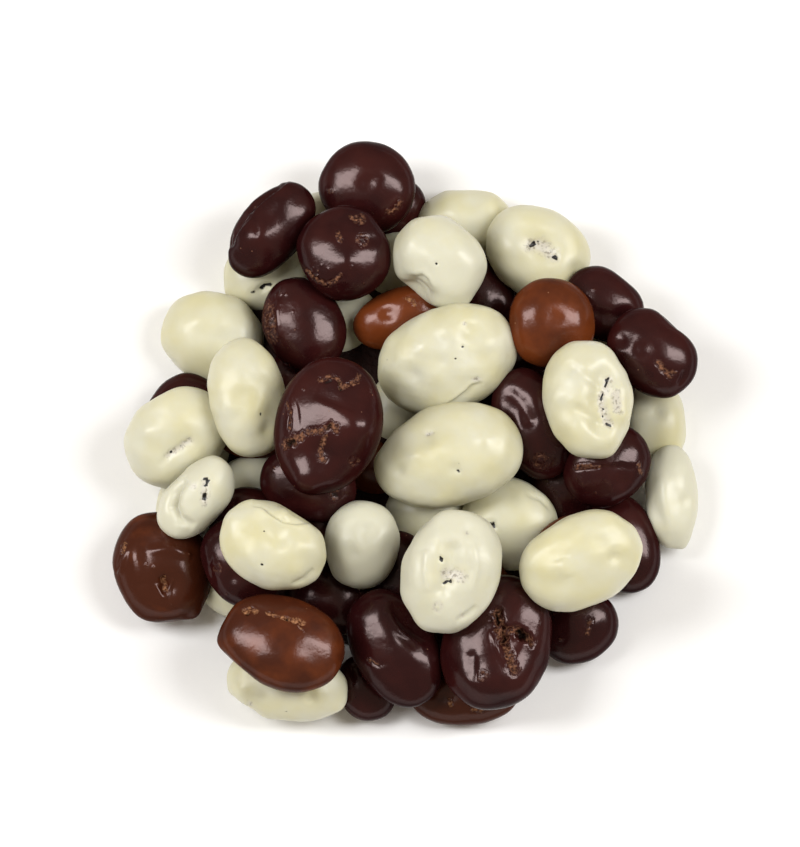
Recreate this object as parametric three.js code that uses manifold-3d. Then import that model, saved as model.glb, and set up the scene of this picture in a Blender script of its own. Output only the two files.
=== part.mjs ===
// A heap of chocolate-coated raisins, lying loose on a flat surface.
// Millimetres, +Z up. The origin is the middle of the heap, on the surface it lies on.
// Each raisin is a lumpy egg. It is laid out as it looks from VIEW_RISE above the front,
// comes down along that line of sight until it lies on the others, and then the whole heap
// settles. The raisins are fused to each other and to a low core, as one solid.

import * as THREE from "three";
import { mergeVertices } from "three/addons/utils/BufferGeometryUtils.js";
import Module from "manifold-3d";

const wasm = await Module();
wasm.setup();

// ---- driving dimensions ----

const VIEW_RISE = 75;          // degrees above the surface, the view that the layout is given in
const USUAL_WIDTH = 10;        // a raisin this wide is as thick as USUAL_THICKNESS along that view
const USUAL_THICKNESS = 7.9;
const THICKENING = 0.6;        // below 1, so that a wider raisin is a flatter one
const SQUARENESS = 2.15;       // 2 is a true ellipsoid, more is boxier
const TILT = 9;                // degrees that a raisin may lean out of the layout's plane
const CHANCE_LUMPS = 5;        // shallow lumps and dents on each raisin besides those listed
const CHANCE_LUMP_DEPTH = [-0.05, 0.03];
const CHANCE_LUMP_SHARPNESS = [4, 9];

const PRESS = 0.6;             // how far two raisins that touch press into each other
const FLAT = 0.3;              // how much of a raisin's underside the surface flattens
const SEEN_SLACK = 0.3;        // how far a raisin that shows may shift while the heap settles
const DEEP_SLACK = 2.8;        // the same for one deep in the heap
const SETTLE_ROUNDS = 200;
const FALL = 0.25;             // fall in the first round of settling
const PULL = 0.05;             // share of its shift that a raisin takes back in each round

const UPPER_DETAIL = 3;        // 128 triangles for each raisin that lies on others and shows
const LOWER_DETAIL = 2;        // 72 triangles for each of the rest
const FACET_LOSS = 0.5;        // what flat facets cut off, as a share of the radius at detail 0
const CORE_RADIUS = 34;
const CORE_HEIGHT = 6.5;
const CORE_BLUNTNESS = 4;      // 2 would make the core's section a half ellipse
const CORE_SIDES = 24;
const CORE_STEPS = 4;
const HEAP_MIDDLE = [-0.05, -2.0];   // from the layout's zero to the middle of the heap's box
const CLEARANCE = 200;         // larger than the heap, for the block that trims its underside

const COATING = 0x7d5a48;      // between the dark, milk and white coatings

// Each row is a raisin: how far right and up its middle lies, its length and width, and the
// turn of its length, counter-clockwise. Then come its own lumps, as [bearing, rise towards
// the eye, height, spread]: a height below 0 is a dent, as a share of the radius.

const ON_THE_SURFACE = [
  [-1.6, 32.6, 10.1, 8.1, 28],
  [-12.0, 29.9, 9.9, 9.0, 78],
  [8.4, 30.7, 14.5, 9.9, -3],
  [29.9, 14.8, 11.0, 7.8, 40],
  [36.0, 1.6, 12.2, 9.0, -84],
  [31.9, -15.8, 14.8, 10.1, -72],
  [25.1, -27.8, 11.9, 10.4, 25, [[-45, 0, -0.04, 20], [100, 50, 0.05, 20], [200, 50, -0.05, 20]]],
  [8.7, -37.3, 16.2, 10.1, 4],
  [-5.9, -37.0, 9.9, 8.4, -70],
  [-16.7, -36.4, 17.7, 10.4, -8, [
    [222, 0, -0.14, 11], [248, 0, 0.05, 12], [198, 0, 0.05, 12], [-30, 0, 0.02, 16],
    [230, 45, -0.06, 16]]],
  [-32.2, -10.1, 9.0, 7.8, 60],
  [-24.9, -23.1, 9.6, 7.8, -20],
  [-34.8, -19.6, 16.8, 14.1, -68, [
    [118, 0, 0.04, 18], [240, 0, 0.05, 18], [-54, 0, 0.09, 12], [-85, 0, -0.02, 12],
    [165, 45, 0.05, 20], [70, 45, 0.05, 22]]],
  [-32.2, 3.0, 11.6, 9.6, 50],
  [-20.4, 22.9, 12.5, 10.1, 15, [[260, 40, -0.06, 20]]],
];

const IN_THE_GAPS = [
  [-24.6, -6.2, 11.0, 8.7, 20],
  [-12.9, -13.8, 11.0, 9.3, 60],
  [1.3, -11.5, 12.2, 9.3, -10],
  [-1.3, 2.2, 12.2, 9.6, 60],
  [-16.4, 7.1, 10.4, 8.7, 60],
  [-7.7, 14.6, 12.2, 9.0, 40],
  [-1.6, 23.9, 10.7, 8.7, 70],
  [12.6, 20.7, 12.8, 10.1, -60],
  [22.5, -8.8, 12.8, 10.1, -65],
  [-10.3, -24.2, 13.0, 10.4, -10],
  [16.7, 7.7, 13.0, 10.1, 20],
  [9.4, -24.2, 12.8, 10.1, 50],
  [-21.6, -27.7, 8.7, 7.2, 10],
  [6.8, -0.4, 11.6, 9.6, 80],
  [31.5, 8.0, 10.4, 8.7, -60],
  [-8.7, 27.4, 11.0, 8.7, 30],
  [-28.7, -2.8, 7.8, 6.7, 60],
  [-22.2, -2.2, 11.6, 8.4, -12],
  [-3.2, -5.9, 11.6, 8.7, -30],
  [-0.1, -19.3, 13.3, 9.6, -80],
  [-21.3, -9.4, 9.3, 7.8, 0],
];

const HALFWAY_UP = [
  [-5.4, 35.5, 13.8, 13.2, -35, [
    [150, 0, -0.04, 24], [95, 0, -0.03, 20], [48, 0, 0.03, 20], [75, 55, 0.04, 30],
    [280, 40, -0.06, 26]]],
  [-19.5, 29.4, 15.9, 9.9, 51, [
    [188, 0, -0.09, 14], [-55, 5, -0.05, 24], [128, 10, 0.03, 18], [270, 50, 0.08, 26]]],
  [-28.0, 13.8, 15.1, 13.2, -20, [[225, 0, -0.04, 24], [100, 0, -0.03, 25], [10, 45, -0.04, 26]]],
  [-32.9, -0.6, 15.9, 13.6, 52, [[122, 0, -0.12, 24], [-5, 0, 0.03, 20], [120, 50, 0.05, 24]]],
  [-1.6, -31.3, 18.1, 12.2, -62, [
    [25, 35, -0.1, 22], [100, 50, 0.05, 22], [190, 45, -0.05, 20], [-60, 55, -0.05, 24]]],
  [13.5, -30.0, 19.7, 15.7, 70, [[-24, 0, 0.06, 15], [265, 45, 0.14, 28], [90, 60, -0.06, 26]]],
  [38.3, -9.3, 15.2, 7.7, -88, [[-62, 0, 0.08, 14], [110, 0, -0.04, 20]]],
  [28.5, 18.5, 12.3, 9.6, -38, [[50, 0, -0.08, 25], [230, 40, -0.06, 24]]],
  [35.5, 11.5, 14.1, 10.7, -46, [
    [50, 0, -0.24, 22], [225, 0, -0.05, 22], [-78, 0, 0.02, 18], [60, 40, -0.08, 20],
    [200, 50, 0.05, 24]]],
  [-14.6, 15.5, 14.2, 11.6, -62, [
    [160, 0, -0.05, 20], [150, 40, -0.05, 20], [280, 50, 0.08, 26], [110, 45, 0.03, 18]]],
  [-0.9, 16.8, 14.2, 8.8, 16, [[150, 0, -0.05, 20], [60, 50, 0.04, 24]]],
  [15.2, -12.8, 14.4, 13.0, -35, [[100, 50, -0.05, 22], [200, 40, 0.05, 24]]],
  [18.7, 1.6, 16.8, 10.7, -68, [[160, 50, -0.08, 20], [60, 50, 0.05, 20]]],
  [-14.2, -7.8, 14.2, 10.4, -18, [[120, 40, 0.05, 22], [-60, 40, -0.06, 22]]],
  [-23.6, -18.4, 13.6, 11.0, -60, [[200, 30, -0.08, 18], [-60, 30, 0.05, 20]]],
  [29.1, -4.8, 13.3, 10.9, 40, [[120, 0, -0.05, 25], [80, 50, -0.09, 20], [-70, 50, 0.06, 26]]],
  [-17.8, -30.6, 18.4, 13.5, -17, [
    [222, 0, -0.12, 28], [186, 0, 0.05, 12], [150, 0, -0.04, 16], [268, 50, 0.1, 30],
    [100, 50, -0.06, 28]]],
];

const UNDER_THE_TOP = [
  [6.1, -19.6, 11.9, 11.3, 80],
  [25.4, -18.4, 13.9, 12.2, 10],
  [-9.0, 1.9, 10.7, 8.4, 70],
  [26.8, 5.5, 12.2, 9.3, 80],
];

const ON_TOP = [
  [-9.0, 25.9, 13.8, 13.2, -70, [
    [40, 0, -0.05, 20], [130, 0, -0.03, 20], [280, 60, 0.08, 28], [75, 50, -0.07, 22]]],
  [4.9, 24.7, 14.4, 11.7, -40, [
    [229, 0, -0.26, 16], [50, 0, -0.16, 24], [100, 0, -0.05, 20], [150, 0, 0.05, 16],
    [-62, 0, 0.06, 14], [230, 35, -0.12, 20], [160, 50, 0.06, 20], [0, 50, 0.03, 24]]],
  [19.0, 26.0, 15.7, 13.0, -30, [
    [50, 0, -0.06, 24], [240, 0, 0.03, 18], [92, 0, -0.07, 20], [190, 50, 0.05, 22],
    [-60, 45, 0.05, 22], [60, 80, -0.08, 22]]],
  [21.0, 15.9, 13.0, 12.5, 90, [[0, 60, 0.02, 30]]],
  [26.5, 4.6, 17.4, 12.9, -82, [
    [225, 0, -0.09, 20], [-20, 0, -0.04, 18], [170, 50, 0.06, 22], [-25, 55, -0.12, 20],
    [-110, 45, 0.05, 18]]],
  [6.4, 10.6, 20.9, 15.1, 22, [
    [-14, 0, 0.03, 16], [152, 0, 0.04, 18], [205, 0, 0.03, 18], [150, 45, -0.05, 20],
    [-80, 50, 0.05, 22], [40, 50, -0.05, 22]]],
  [6.5, -3.2, 21.8, 14.9, 14, [
    [150, 0, -0.18, 18], [243, 0, -0.05, 18], [10, 50, 0.05, 24], [-100, 50, -0.04, 22],
    [120, 60, -0.04, 20]]],
  [-23.1, 4.9, 17.4, 11.0, -82, [[150, 0, 0.05, 22], [110, 50, 0.05, 24], [-60, 45, -0.04, 22]]],
  [-11.2, 1.0, 19.7, 15.2, 76, [[270, 50, 0.07, 28], [100, 50, -0.05, 22]]],
  [-30.3, -9.7, 13.8, 8.1, 49, [
    [139, 5, -0.1, 22], [-41, 0, -0.06, 18], [225, 45, -0.07, 16], [60, 40, 0.08, 22]]],
  [-19.3, -16.5, 15.9, 12.2, -22, [
    [50, 0, -0.24, 24], [-42, 0, 0.06, 16], [215, 0, -0.05, 20], [150, 40, 0.07, 20],
    [90, 75, -0.08, 20], [-80, 40, -0.05, 18], [0, 45, 0.06, 20]]],
  [-6.4, -15.9, 12.8, 10.9, 88, [[165, 0, 0.03, 20], [-50, 0, -0.04, 22], [120, 60, -0.05, 22]]],
  [6.8, -20.2, 18.3, 14.1, 74, [
    [135, 0, -0.04, 24], [242, 0, 0.06, 16], [-52, 0, -0.07, 20], [180, 40, 0.05, 20],
    [0, 40, 0.05, 20], [90, 85, -0.08, 24]]],
  [25.2, -18.7, 18.4, 13.2, 26, [
    [125, 0, -0.07, 20], [48, 0, -0.06, 22], [-15, 0, -0.03, 18], [80, 50, 0.05, 22],
    [-20, 50, -0.06, 20]]],
];

// ---- the view that the layout is given in ----

const radians = THREE.MathUtils.degToRad;
const RISE = radians(VIEW_RISE);
const RIGHT = new THREE.Vector3(1, 0, 0);
const UP = new THREE.Vector3(0, Math.sin(RISE), Math.cos(RISE));
const EYE = new THREE.Vector3(0, -Math.cos(RISE), Math.sin(RISE));

// Directions spread evenly over a sphere, each turned from the last by the golden angle.
const DIRECTION_COUNT = 400;
const GOLDEN_ANGLE = Math.PI * (3 - Math.sqrt(5));
const DIRECTIONS = Array.from({ length: DIRECTION_COUNT }, (_, i) => {
  const height = 1 - (2 * i + 1) / DIRECTION_COUNT;
  return onSphere(height, (i + 0.5) * GOLDEN_ANGLE);
});

function onSphere(height, turn) {
  const reach = Math.sqrt(1 - height * height);
  return new THREE.Vector3(reach * Math.cos(turn), reach * Math.sin(turn), height);
}

// ---- one raisin ----

// Numbers from 0 to 1 that are the same in each run: a plain congruential generator.
class Chance {
  constructor(seed) {
    this.state = seed >>> 0;
  }

  next() {
    this.state = (Math.imul(this.state, 1664525) + 1013904223) >>> 0;
    return this.state / 4294967296;
  }

  between(low, high) {
    return low + (high - low) * this.next();
  }
}

function chanceLump(chance) {
  const level = chance.between(-1, 1);
  const at = onSphere(level, chance.between(0, 2 * Math.PI));
  const height = chance.between(...CHANCE_LUMP_DEPTH);
  const sharpness = chance.between(...CHANCE_LUMP_SHARPNESS);
  return { at, height, sharpness };
}

function listedLump([bearing, rise, height, spread], turn) {
  const at = onSphere(Math.sin(radians(rise)), radians(bearing - turn));
  return { at, height, sharpness: 1 / (1 - Math.cos(radians(spread))) };
}

class Raisin {
  constructor([right, up, length, width, turn, lumps = []], seed, slack, upper) {
    const chance = new Chance(seed);
    this.axes = leaningAxes(turn, chance);
    this.lumps = Array.from({ length: CHANCE_LUMPS }, () => chanceLump(chance));
    this.lumps.push(...lumps.map((lump) => listedLump(lump, turn)));
    this.target = new THREE.Vector3().addScaledVector(RIGHT, right).addScaledVector(UP, up);
    this.centre = this.target.clone();
    this.slack = slack;
    this.upper = upper;
    this.fit(length, width);
    this.measure();
  }

  // Radius before fitting, in a direction of the raisin's own axes.
  radius(direction) {
    const { x, y, z } = direction;
    const power = [x, y, z].reduce((sum, part) => sum + Math.abs(part) ** SQUARENESS, 0);
    let radius = power ** (-1 / SQUARENESS);
    for (const { at, height, sharpness } of this.lumps) {
      radius += height * Math.exp(sharpness * (direction.dot(at) - 1));
    }
    return radius;
  }

  // The lumpy shape is stretched to exactly its length, width and thickness.
  fit(length, width) {
    const box = new THREE.Box3();
    for (const direction of DIRECTIONS) {
      box.expandByPoint(direction.clone().multiplyScalar(this.radius(direction)));
    }
    this.middle = box.getCenter(new THREE.Vector3());
    const thickness = USUAL_THICKNESS * (width / USUAL_WIDTH) ** THICKENING;
    this.stretch = new THREE.Vector3(length, width, thickness).divide(box.getSize(new THREE.Vector3()));
  }

  // The point of its skin in a direction of its own axes, from its centre.
  skin(direction) {
    const point = direction.clone().multiplyScalar(this.radius(direction));
    return point.sub(this.middle).multiply(this.stretch).applyMatrix4(this.axes);
  }

  // How far the skin reaches along each of the even directions, forwards and backwards.
  measure() {
    const points = DIRECTIONS.map((direction) => this.skin(direction));
    this.ahead = DIRECTIONS.map((n) => points.reduce((most, p) => Math.max(most, p.dot(n)), -Infinity));
    this.behind = DIRECTIONS.map((n) => points.reduce((most, p) => Math.max(most, -p.dot(n)), -Infinity));
    this.reach = points.reduce((most, p) => Math.max(most, p.length()), 0);
    this.low = points.reduce((least, p) => Math.min(least, p.z), Infinity);
  }

  // A faceted ball in its shape, swollen by what its facets cut off.
  solid() {
    const detail = this.upper ? UPPER_DETAIL : LOWER_DETAIL;
    const swell = 1 + FACET_LOSS / (detail + 1) ** 2;
    const geometry = new THREE.OctahedronGeometry(1, detail);
    const place = geometry.attributes.position;
    const direction = new THREE.Vector3();
    for (let i = 0; i < place.count; i += 1) {
      direction.fromBufferAttribute(place, i).normalize();
      const point = this.skin(direction).multiplyScalar(swell).add(this.centre);
      place.setXYZ(i, point.x, point.y, point.z);
    }
    return toManifold(geometry);
  }
}

// Length, width and thickness directions of a raisin, as the columns of a matrix.
function leaningAxes(turn, chance) {
  const pitch = radians(chance.between(-TILT, TILT));
  const roll = radians(chance.between(-TILT, TILT));
  const frame = new THREE.Matrix4().makeBasis(RIGHT, UP, EYE);
  frame.multiply(new THREE.Matrix4().makeRotationZ(radians(turn)));
  frame.multiply(new THREE.Matrix4().makeRotationY(pitch));
  return frame.multiply(new THREE.Matrix4().makeRotationX(roll));
}

// ---- laying the heap ----

// How far a raisin can come down along the line of sight before it lies on another one, from
// the gap between the two in each direction. It is null where they pass each other.
function fallOnto(raisin, other) {
  const apart = raisin.centre.clone().sub(other.centre);
  let first = -Infinity;
  let last = Infinity;
  for (let i = 0; i < DIRECTION_COUNT; i += 1) {
    const gap = apart.dot(DIRECTIONS[i]) - other.ahead[i] - raisin.behind[i] + PRESS;
    const closing = EYE.dot(DIRECTIONS[i]);
    if (closing > 0) {
      first = Math.max(first, gap / closing);
    } else {
      last = Math.min(last, gap / closing);
    }
  }
  return first < last ? first : null;
}

function layDown(raisins) {
  raisins.forEach((raisin, count) => {
    raisin.centre.addScaledVector(EYE, CLEARANCE);
    let fall = (raisin.centre.z + raisin.low + FLAT) / EYE.z;
    for (const other of raisins.slice(0, count)) {
      fall = Math.min(fall, fallOnto(raisin, other) ?? Infinity);
    }
    raisin.centre.addScaledVector(EYE, -fall);
  });
}

// Pushes two raisins apart, each by half of what they overlap, the shortest way out.
function pushApart(one, other) {
  const apart = other.centre.clone().sub(one.centre);
  if (apart.length() > one.reach + other.reach) {
    return;
  }
  let overlap = Infinity;
  let way = 0;
  for (let i = 0; i < DIRECTION_COUNT; i += 1) {
    const depth = one.ahead[i] + other.behind[i] - PRESS - apart.dot(DIRECTIONS[i]);
    if (depth < overlap) {
      overlap = depth;
      way = i;
    }
  }
  if (overlap > 0) {
    one.centre.addScaledVector(DIRECTIONS[way], -overlap / 2);
    other.centre.addScaledVector(DIRECTIONS[way], overlap / 2);
  }
}

function shiftInView(raisin) {
  const shift = raisin.centre.clone().sub(raisin.target);
  return shift.addScaledVector(EYE, -shift.dot(EYE));
}

function keepInPlace(raisin) {
  const shift = shiftInView(raisin);
  const excess = shift.length() - raisin.slack;
  if (excess > 0) {
    raisin.centre.addScaledVector(shift.normalize(), -excess);
  }
  raisin.centre.z = Math.max(raisin.centre.z, -FLAT - raisin.low);
}

function settle(raisins) {
  for (let round = 0; round < SETTLE_ROUNDS; round += 1) {
    const fall = FALL * (1 - round / SETTLE_ROUNDS);
    for (const raisin of raisins) {
      raisin.centre.addScaledVector(shiftInView(raisin), -PULL).addScaledVector(EYE, -fall);
    }
    for (let pass = 0; pass < 2; pass += 1) {
      raisins.forEach((raisin, i) => {
        raisins.slice(i + 1).forEach((other) => pushApart(raisin, other));
      });
      raisins.forEach(keepInPlace);
    }
  }
}

// ---- fusing it ----

function toManifold(geometry) {
  geometry.deleteAttribute("normal");
  geometry.deleteAttribute("uv");
  const merged = mergeVertices(geometry);
  const vertProperties = new Float32Array(merged.attributes.position.array);
  const triVerts = new Uint32Array(merged.index.array);
  return new wasm.Manifold(new wasm.Mesh({ numProp: 3, vertProperties, triVerts }));
}

function toGeometry(solid) {
  const { vertProperties, triVerts } = solid.getMesh();
  const geometry = new THREE.BufferGeometry();
  geometry.setAttribute("position", new THREE.BufferAttribute(vertProperties, 3));
  geometry.setIndex(new THREE.BufferAttribute(triVerts, 1));
  geometry.computeVertexNormals();
  return geometry;
}

// The low mound inside the heap, with its foot below the surface until it is trimmed.
function core() {
  const profile = [new THREE.Vector2(0, -FLAT), new THREE.Vector2(CORE_RADIUS, -FLAT)];
  for (let step = 0; step < CORE_STEPS; step += 1) {
    const turn = (step / CORE_STEPS) * (Math.PI / 2);
    const reach = CORE_RADIUS * Math.cos(turn) ** (2 / CORE_BLUNTNESS);
    const height = CORE_HEIGHT * Math.sin(turn) ** (2 / CORE_BLUNTNESS);
    profile.push(new THREE.Vector2(reach, height));
  }
  profile.push(new THREE.Vector2(0, CORE_HEIGHT));
  const mound = new THREE.LatheGeometry(profile, CORE_SIDES).rotateX(Math.PI / 2);
  return toManifold(mound.translate(...HEAP_MIDDLE, 0));
}

function underside() {
  const block = new THREE.BoxGeometry(CLEARANCE, CLEARANCE, CLEARANCE);
  return toManifold(block.translate(0, 0, -CLEARANCE / 2));
}

// Its outer skin alone: hollows that fusing sealed are filled, loose scraps are dropped.
function largestBody(solid) {
  return solid.decompose().reduce((most, body) => (body.volume() > most.volume() ? body : most));
}

function makeHeap() {
  const layers = [
    { rows: ON_THE_SURFACE, slack: SEEN_SLACK, upper: false },
    { rows: IN_THE_GAPS, slack: DEEP_SLACK, upper: false },
    { rows: HALFWAY_UP, slack: SEEN_SLACK, upper: true },
    { rows: UNDER_THE_TOP, slack: DEEP_SLACK, upper: false },
    { rows: ON_TOP, slack: SEEN_SLACK, upper: true },
  ];
  const raisins = [];
  for (const { rows, slack, upper } of layers) {
    rows.forEach((row) => raisins.push(new Raisin(row, raisins.length + 1, slack, upper)));
  }
  layDown(raisins);
  settle(raisins);
  const heap = raisins.reduce((fused, raisin) => fused.add(raisin.solid()), core());
  return largestBody(heap.subtract(underside()));
}

const heap = new THREE.Mesh(
  toGeometry(makeHeap()).translate(-HEAP_MIDDLE[0], -HEAP_MIDDLE[1], 0),
  new THREE.MeshStandardMaterial({ color: COATING, roughness: 0.35, metalness: 0 }),
);
heap.name = "heap";

const part = new THREE.Group();
part.add(heap);

export default part;
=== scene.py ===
"""A heap of chocolate raisins, dressed around its CAD frame.

The raisins lie where the CAD solid has them: the same layout, settled by the same rules. Here each
one gets the smooth, uneven skin of a panned sweet, with the folds, dimples, scars and pin holes that
drying fruit leaves in its chocolate. Layout sizes are in millimetres, Blender's objects in metres.
"""

import math
from functools import cache
from typing import NamedTuple

import bmesh
import bpy
import numpy as np
from bpy.props import FloatProperty, FloatVectorProperty, PointerProperty
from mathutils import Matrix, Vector


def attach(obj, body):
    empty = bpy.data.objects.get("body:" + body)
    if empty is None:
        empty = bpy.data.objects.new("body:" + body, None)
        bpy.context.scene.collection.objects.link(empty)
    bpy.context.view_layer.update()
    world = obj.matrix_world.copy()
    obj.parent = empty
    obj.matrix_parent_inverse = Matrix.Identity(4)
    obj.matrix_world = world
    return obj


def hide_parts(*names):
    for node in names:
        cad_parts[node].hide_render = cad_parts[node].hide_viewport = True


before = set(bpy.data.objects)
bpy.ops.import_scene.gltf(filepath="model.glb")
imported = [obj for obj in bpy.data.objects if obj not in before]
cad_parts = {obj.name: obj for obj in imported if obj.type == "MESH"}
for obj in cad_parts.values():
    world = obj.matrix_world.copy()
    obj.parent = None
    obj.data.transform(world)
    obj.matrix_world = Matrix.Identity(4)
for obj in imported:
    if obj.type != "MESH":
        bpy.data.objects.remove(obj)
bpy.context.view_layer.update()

bl_info = {
    "name": "Chocolate raisin heap",
    "version": (1, 0, 0),
    "blender": (4, 5, 0),
    "location": "3D View > Sidebar > Raisins",
    "description": "Dresses a heap of dark, milk and white chocolate raisins around its CAD frame",
    "category": "Mesh",
}

MM = 0.001
NODE = "heap"
BODY = "root"

# ---- the layout, as in the CAD source ----

VIEW_RISE = 75            # degrees above the surface, the view that the layout is given in
USUAL_WIDTH = 10          # a raisin this wide is as thick as USUAL_THICKNESS along that view
USUAL_THICKNESS = 7.9
THICKENING = 0.6          # below 1, so that a wider raisin is a flatter one
SQUARENESS = 2.15         # 2 is a true ellipsoid, more is boxier
TILT = 9                  # degrees that a raisin may lean out of the layout's plane
CHANCE_LUMPS = 5          # shallow lumps and dents on each raisin besides those listed
CHANCE_LUMP_DEPTH = (-0.05, 0.03)
CHANCE_LUMP_SHARPNESS = (4, 9)
PRESS = 0.6               # how far two raisins that touch press into each other
FLAT = 0.3                # how much of a raisin's underside the surface flattens
SEEN_SLACK = 0.3          # how far a raisin that shows may shift while the heap settles
DEEP_SLACK = 2.8          # the same for one deep in the heap
SETTLE_ROUNDS = 200
FALL = 0.25               # fall in the first round of settling
PULL = 0.05               # share of its shift that a raisin takes back in each round
PUSHES = 2                # times in each round that raisins push each other apart
HEAP_MIDDLE = np.array((-0.05, -2.0, 0))     # the middle of the heap's foot in the layout
CLEARANCE = 200           # larger than the heap
DIRECTION_COUNT = 400     # along which a raisin is measured


class Laid(NamedTuple):
    """One raisin as it lies in the view: its middle, length, width and the turn of its length.

    Each lump is (bearing, rise towards the eye, height, spread), as in the CAD source. The tone goes
    from -1 to 1: a duller or a warmer coat than most. Each mark is (kind, half width, depth, point,
    point...), with its points right and up from the middle.
    """

    coat: str
    right: float
    up: float
    length: float
    width: float
    turn: float
    lumps: tuple = ()
    tone: float = 0
    marks: tuple = ()


ON_THE_SURFACE = (
    Laid("dark", -1.6, 32.6, 10.1, 8.1, 28),
    Laid("white", -12.0, 29.9, 9.9, 9.0, 78),
    Laid("white", 8.4, 30.7, 14.5, 9.9, -3, tone=0.4,
         marks=(("dimple", 1.3, 0.4, (1, 3)), ("bump", 1.16, 0.3, (3.9, 3)))),
    Laid("white", 29.9, 14.8, 11.0, 7.8, 40),
    Laid("white", 36.0, 1.6, 12.2, 9.0, -84, tone=0.5,
         marks=(("dimple", 1.01, 0.4, (0.3, 1.7)),)),
    Laid("dark", 31.9, -15.8, 14.8, 10.1, -72),
    Laid("dark", 25.1, -27.8, 11.9, 10.4, 25, tone=-0.6,
         lumps=((-45, 0, -0.04, 20), (100, 50, 0.05, 20), (200, 50, -0.05, 20)),
         marks=(("scar", 0.26, 0.2, (1.4, 0.9), (1.2, -1)), ("patch", 0.23, 0, (-2.6, -1.6)),
                ("rough", 0.87, 0.06, (4.1, 2.8)), ("ridge", 0.43, 0.3, (2.6, 1.4), (2, -0.7)))),
    Laid("milk", 8.7, -37.3, 16.2, 10.1, 4, tone=-0.8,
         marks=(("scar", 0.26, 0.2, (-2.3, -1.4), (-2, -2.3)),
                ("scar", 0.23, 0.15, (1.3, -2.8), (2.6, -2.9)), ("dimple", 1.3, 0.4, (-2.5, -0.9)))),
    Laid("dark", -5.9, -37.0, 9.9, 8.4, -70),
    Laid("white", -16.7, -36.4, 17.7, 10.4, -8,
         lumps=((222, 0, -0.14, 11), (248, 0, 0.05, 12), (198, 0, 0.05, 12), (-30, 0, 0.02, 16),
                (230, 45, -0.06, 16)),
         marks=(("crease", 0.43, 0.7, (3.3, -0.9), (3.5, -2.6)), ("pin", 0.17, 0.2, (0, -3.8)),
                ("bare", 0.35, 0.05, (-5.5, -2.6)), ("dimple", 1.01, 0.5, (-3.2, -1.4)),
                ("bump", 1.01, 0.4, (-6.5, -0.6)), ("bump", 1.01, 0.3, (-0.6, -2.3)))),
    Laid("white", -32.2, -10.1, 9.0, 7.8, 60),
    Laid("white", -24.9, -23.1, 9.6, 7.8, -20),
    Laid("milk", -34.8, -19.6, 16.8, 14.1, -68, tone=-0.6,
         lumps=((118, 0, 0.04, 18), (240, 0, 0.05, 18), (-54, 0, 0.09, 12), (-85, 0, -0.02, 12),
                (165, 45, 0.05, 20), (70, 45, 0.05, 22)),
         marks=(("dimple", 1.74, 1.1, (0.6, -2.5)),
                ("ridge", 0.87, 0.3, (-3.8, 5), (-3.9, 1.5), (-3.3, -2.2)),
                ("ridge", 0.72, 0.35, (-2.2, 2.5), (1, 2.8), (4.2, 1.8)),
                ("ridge", 0.29, 0.35, (-1, -2.5), (0.1, -4.6)),
                ("ridge", 0.29, 0.35, (0.3, -4.6), (1, -3.1), (1.6, -1.5)),
                ("scar", 0.38, 0.5, (0.1, -1.5), (0.4, -3.3)),
                ("scar", 0.29, 0.3, (-5.5, 3.4), (-5.8, 2.5)),
                ("ridge", 0.29, 0.3, (-5.1, 2.8), (-5.8, 0.9), (-6.4, -1.1)),
                ("crease", 0.29, 0.3, (-5.5, 2.8), (-6.4, 0.9), (-7, -0.8)),
                ("patch", 0.2, 0, (-1.3, 0.2)), ("patch", 0.17, 0, (-2.3, 0.5)),
                ("patch", 0.17, 0, (1.2, -5.3)), ("patch", 0.17, 0, (3.8, 2)))),
    Laid("dark", -32.2, 3.0, 11.6, 9.6, 50, tone=0.8),
    Laid("white", -20.4, 22.9, 12.5, 10.1, 15,
         lumps=((260, 40, -0.06, 20),),
         marks=(("crease", 0.32, 0.6, (-1.9, -2.8), (-0.3, -1.9), (1.3, -1.3)),
                ("hole", 0.14, 0.3, (-1.7, -2.6), (0, -1.9)),
                ("hole", 0.35, 0.5, (0.1, -1.7), (0.9, -1.4)), ("dimple", 1.16, 0.5, (-0.3, -2.3)))),
)

IN_THE_GAPS = (
    Laid("white", -24.6, -6.2, 11.0, 8.7, 20),
    Laid("dark", -12.9, -13.8, 11.0, 9.3, 60),
    Laid("white", 1.3, -11.5, 12.2, 9.3, -10),
    Laid("white", -1.3, 2.2, 12.2, 9.6, 60),
    Laid("dark", -16.4, 7.1, 10.4, 8.7, 60),
    Laid("white", -7.7, 14.6, 12.2, 9.0, 40),
    Laid("white", -1.6, 23.9, 10.7, 8.7, 70),
    Laid("dark", 12.6, 20.7, 12.8, 10.1, -60),
    Laid("dark", 22.5, -8.8, 12.8, 10.1, -65),
    Laid("dark", -10.3, -24.2, 13.0, 10.4, -10),
    Laid("dark", 16.7, 7.7, 13.0, 10.1, 20),
    Laid("milk", 9.4, -24.2, 12.8, 10.1, 50),
    Laid("dark", -21.6, -27.7, 8.7, 7.2, 10),
    Laid("milk", 6.8, -0.4, 11.6, 9.6, 80),
    Laid("dark", 31.5, 8.0, 10.4, 8.7, -60),
    Laid("white", -8.7, 27.4, 11.0, 8.7, 30),
    Laid("white", -28.7, -2.8, 7.8, 6.7, 60),
    Laid("milk", -22.2, -2.2, 11.6, 8.4, -12, tone=0.4),
    Laid("milk", -3.2, -5.9, 11.6, 8.7, -30, tone=0.4),
    Laid("dark", -0.1, -19.3, 13.3, 9.6, -80),
    Laid("dark", -21.3, -9.4, 9.3, 7.8, 0),
)

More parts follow.
